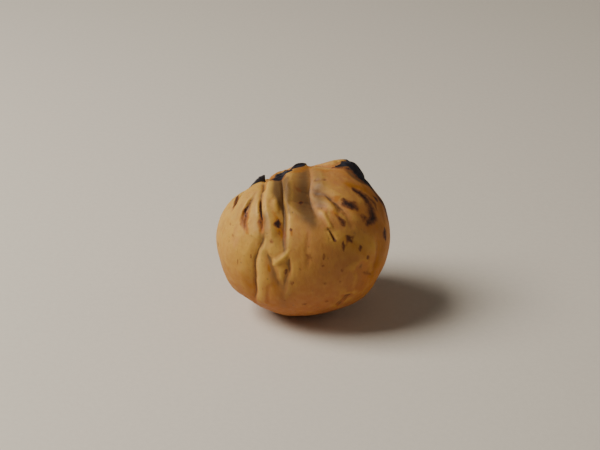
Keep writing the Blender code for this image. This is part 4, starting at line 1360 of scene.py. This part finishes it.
class BurntRim(Course):
    """A thin ragged rim that stands on the surface along a course.

    height  how far it stands out, one value or several along the course
    lean    how far it leans to the right of its course, as a share of its height
    sweep   how far its free edge is swept on along its course, as such a share
    thick   its thickness at the foot
    ends    share of the course over which it rises at each end
    """

    def __init__(self, name, face, stops, height, lean=0.3, sweep=0.0, thick=0.3,
                 ends=(0.18, 0.12), seed=0):
        super().__init__(face, stops)
        self.name = name
        share = np.linspace(0.0, 1.0, RIM_STEPS)
        tooth_heights = np.random.default_rng(seed).uniform(*TOOTH_SHARES, RIM_TEETH)
        teeth = np.interp(share, np.linspace(0.0, 1.0, RIM_TEETH), tooth_heights)
        risen = ease(share / ends[0]) * ease((1.0 - share) / ends[1])
        self.height = spread(height, share) * risen * teeth
        self.lean = lean
        self.sweep = sweep
        self.thick = thick

    def rows(self):
        """Its points in millimetres, row by row from the root to the edge: those of its
        left side and those of its right."""
        position = np.linspace(0.0, len(self.line) - 1.0, RIM_STEPS)
        out = unit(along(self.line, position))
        down = along(self.down, position)
        aside = unit(np.cross(out, down))
        foot = kernel_surface(out, main_folds() + fine_folds())
        left, right = [], []
        for level in np.linspace(0.0, 1.0, RIM_ROWS):
            rise = -RIM_ROOT + (self.height + RIM_ROOT) * level
            bend = np.clip(rise, 0.0, None)[:, None] * level
            middle = foot + out * rise[:, None] + (aside * self.lean + down * self.sweep) * bend
            half = 0.5 * self.thick * (1.0 - RIM_TAPER * level ** 2)
            left.append(middle - aside * half)
            right.append(middle + aside * half)
        return left, right

    def mesh(self):
        """The rim as a closed mesh."""
        skin = bmesh.new()
        left, right = ([[skin.verts.new(in_frame(point)) for point in row] for row in side]
                       for side in self.rows())
        top, end = RIM_ROWS - 1, RIM_STEPS - 1
        for level in range(top):
            for step in range(end):
                for side in (left, right):
                    skin.faces.new([side[level][step], side[level][step + 1],
                                    side[level + 1][step + 1], side[level + 1][step]])
            for step in (0, end):
                skin.faces.new([left[level][step], right[level][step],
                                right[level + 1][step], left[level + 1][step]])
        for step in range(end):
            for level in (0, top):
                skin.faces.new([left[level][step], left[level][step + 1],
                                right[level][step + 1], right[level][step]])
        bmesh.ops.recalc_face_normals(skin, faces=skin.faces)
        mesh = bpy.data.meshes.new(self.name)
        skin.to_mesh(mesh)
        skin.free()
        levels = np.tile(np.repeat(np.linspace(0.0, 1.0, RIM_ROWS), RIM_STEPS), 2)
        keep_value(mesh, "root", 1.0 - levels)
        keep_value(mesh, "edge", levels)
        mesh.shade_smooth()
        return mesh


def burnt_rims():
    """Every standing rim, from the left of the crown to its right, then the back."""
    return [
        BurntRim("left_burnt_rim", "front", [(-13.8, 13.9), (-12.3, 15.0), (-10.7, 16.5)],
                 (0.05, 0.25, 0.52, 0.85, 1.2), lean=0.0, sweep=0.7, thick=0.8, ends=(0.1, 0.03), seed=3),
        BurntRim("middle_burnt_rim", "front", [(-7.6, 16.3), (-6.4, 17.3), (-5.0, 18.0), (-3.6, 18.4)],
                 (0.10, 0.2, 0.15), lean=0.2, thick=0.5, seed=5),
        BurntRim("crown_burnt_rim", "front", [(-3.0, 19.8), (-1.5, 21.0), (0.2, 21.9), (1.2, 22.5)],
                 (0.2, 0.3, 0.25), lean=0.1, thick=0.5, seed=8),
        BurntRim("back_burnt_rim", "back", [(9.4, 8.2), (10.8, 7.4), (11.8, 6.0)],
                 (0.4, 0.7, 0.3), lean=0.3, thick=0.35, seed=11),
        BurntRim("back_crown_rim", "back", [(-11.8, 6.8), (-9.6, 8.0), (-7.0, 7.8)],
                 (0.3, 0.6, 0.3), lean=-0.3, thick=0.35, seed=14),
    ]


class CHESTNUT_OT_burnt_rims(bpy.types.Operator):
    """Make the thin rims of burnt skin that stand on the crown"""

    bl_idname = "chestnut.burnt_rims"
    bl_label = "Burnt rims"

    def execute(self, context):
        material = burnt_material(context.scene.nut_colour)
        for rim in burnt_rims():
            piece = new_object(rim.name, rim.mesh())
            piece.data.materials.append(material)
            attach(piece, BODY)
        return {"FINISHED"}


# ---- the stage -----------------------------------------------------------------------
# The camera's place and aim are in millimetres of the design, its lens in millimetres.
CAMERA_PLACE = (-0.569, -238.27, 139.17)
CAMERA_AIM = (-0.569, 1.119, 17.197)
CAMERA_LENS = 85.0

# Lamps stand round the nut by compass, height in degrees and distance in metres, are so
# wide, and aim at this height in the nut, in millimetres.
KEY_PLACE = (185.0, 48.0, 0.5)
KEY_SIZE = 0.25
FILL_PLACE = (5.0, 22.0, 0.6)
FILL_SIZE = 0.4
LAMP_AIM = (0.0, 0.0, 12.0)
DAYLIGHT = (1.0, 0.97, 0.93)
WARM_LIGHT = (1.0, 0.86, 0.70)

FLOOR_SIZE = 2.0
PAPER_FIBRES = 900.0
PAPER_RELIEF = 0.0002
PAPER_SHADE = 0.97


def aim_at(item, place, target):
    """Put an item at a place, looking at the target."""
    item.location = place
    item.rotation_euler = (Vector(target) - Vector(place)).to_track_quat("-Z", "Y").to_euler()


def add_lamp(name, round_place, size, power, colour):
    """A soft square lamp, standing round the nut and aimed at its middle."""
    lamp = bpy.data.lights.new(name, "AREA")
    lamp.size = size
    lamp.energy = power
    lamp.color = colour
    azimuth, elevation, distance = round_place
    turn, lift = math.radians(azimuth), math.radians(elevation)
    out = Vector((math.cos(turn) * math.cos(lift), math.sin(turn) * math.cos(lift), math.sin(lift)))
    aim_at(new_object(name, lamp), out * distance, Vector(LAMP_AIM) * MM)


def floor_material(colour):
    """Plain pale paper."""
    material, nodes, shader, place_on_object = new_material("pale_paper")
    fibres = nodes.noise(place_on_object, PAPER_FIBRES)
    shade = tuple(PAPER_SHADE * part for part in colour)
    nodes.set_inputs(shader, {
        "Base Color": nodes.tinted(opaque(colour), shade, fibres, 0.3, 0.7),
        "Normal": nodes.bump(fibres, strength=0.15, distance=PAPER_RELIEF), "Roughness": 0.85,
        "Specular IOR Level": 0.2,
    })
    return material


class CHESTNUT_OT_stage(bpy.types.Operator):
    """Make the floor, the lights and the camera"""

    bl_idname = "chestnut.stage"
    bl_label = "Stage"

    def execute(self, context):
        stage = context.scene.nut_stage
        half = FLOOR_SIZE / 2
        mesh = bpy.data.meshes.new("floor")
        corners = [(-half, -half, CAD_LOW.z), (half, -half, CAD_LOW.z), (half, half, CAD_LOW.z),
                   (-half, half, CAD_LOW.z)]
        mesh.from_pydata(corners, [], [(0, 1, 2, 3)])
        mesh.materials.append(floor_material(stage.floor_colour))
        new_object("floor", mesh)

        add_lamp("key_light", KEY_PLACE, KEY_SIZE, stage.key_power, DAYLIGHT)
        add_lamp("fill_light", FILL_PLACE, FILL_SIZE, stage.fill_power, WARM_LIGHT)

        world = bpy.data.worlds.new("soft_room")
        context.scene.world = world
        world.use_nodes = True
        Nodes(world.node_tree).set_inputs(world.node_tree.nodes["Background"],
                                          {"Color": opaque(DAYLIGHT), "Strength": stage.room_strength})

        lens = bpy.data.cameras.new("camera")
        lens.lens = CAMERA_LENS
        lens.clip_start = 0.01
        camera = new_object("camera", lens)
        aim_at(camera, Vector(CAMERA_PLACE) * MM, Vector(CAMERA_AIM) * MM)
        context.scene.camera = camera
        return {"FINISHED"}


# ---- the add-on ------------------------------------------------------------------------
class CHESTNUT_PT_panel(bpy.types.Panel):
    """Lists what makes the roasted chestnut"""

    bl_label = "Roasted chestnut"
    bl_idname = "CHESTNUT_PT_panel"
    bl_space_type = "VIEW_3D"
    bl_region_type = "UI"
    bl_category = "Chestnut"

    def draw(self, context):
        layout = self.layout
        for settings in (context.scene.nut_form, context.scene.nut_colour, context.scene.nut_stage):
            column = layout.column(align=True)
            for name in settings.__annotations__:
                column.prop(settings, name)
        layout.operator("chestnut.kernel")
        layout.operator("chestnut.burnt_rims")
        layout.operator("chestnut.stage")


CLASSES = (
    NutFormSettings, NutColourSettings, NutStageSettings, CHESTNUT_OT_kernel,
    CHESTNUT_OT_burnt_rims, CHESTNUT_OT_stage, CHESTNUT_PT_panel,
)


def register():
    for item in CLASSES:
        bpy.utils.register_class(item)
    bpy.types.Scene.nut_form = PointerProperty(type=NutFormSettings)
    bpy.types.Scene.nut_colour = PointerProperty(type=NutColourSettings)
    bpy.types.Scene.nut_stage = PointerProperty(type=NutStageSettings)


def unregister():
    del bpy.types.Scene.nut_form
    del bpy.types.Scene.nut_colour
    del bpy.types.Scene.nut_stage
    for item in reversed(CLASSES):
        bpy.utils.unregister_class(item)


def main():
    """Build everything."""
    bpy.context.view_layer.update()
    register()
    for item in list(bpy.data.objects):
        if item.type in {"LIGHT", "CAMERA"} or item.name == "Cube":
            bpy.data.objects.remove(item)
    bpy.ops.chestnut.kernel()
    bpy.ops.chestnut.burnt_rims()
    bpy.ops.chestnut.stage()


if __name__ == "__main__":
    main()
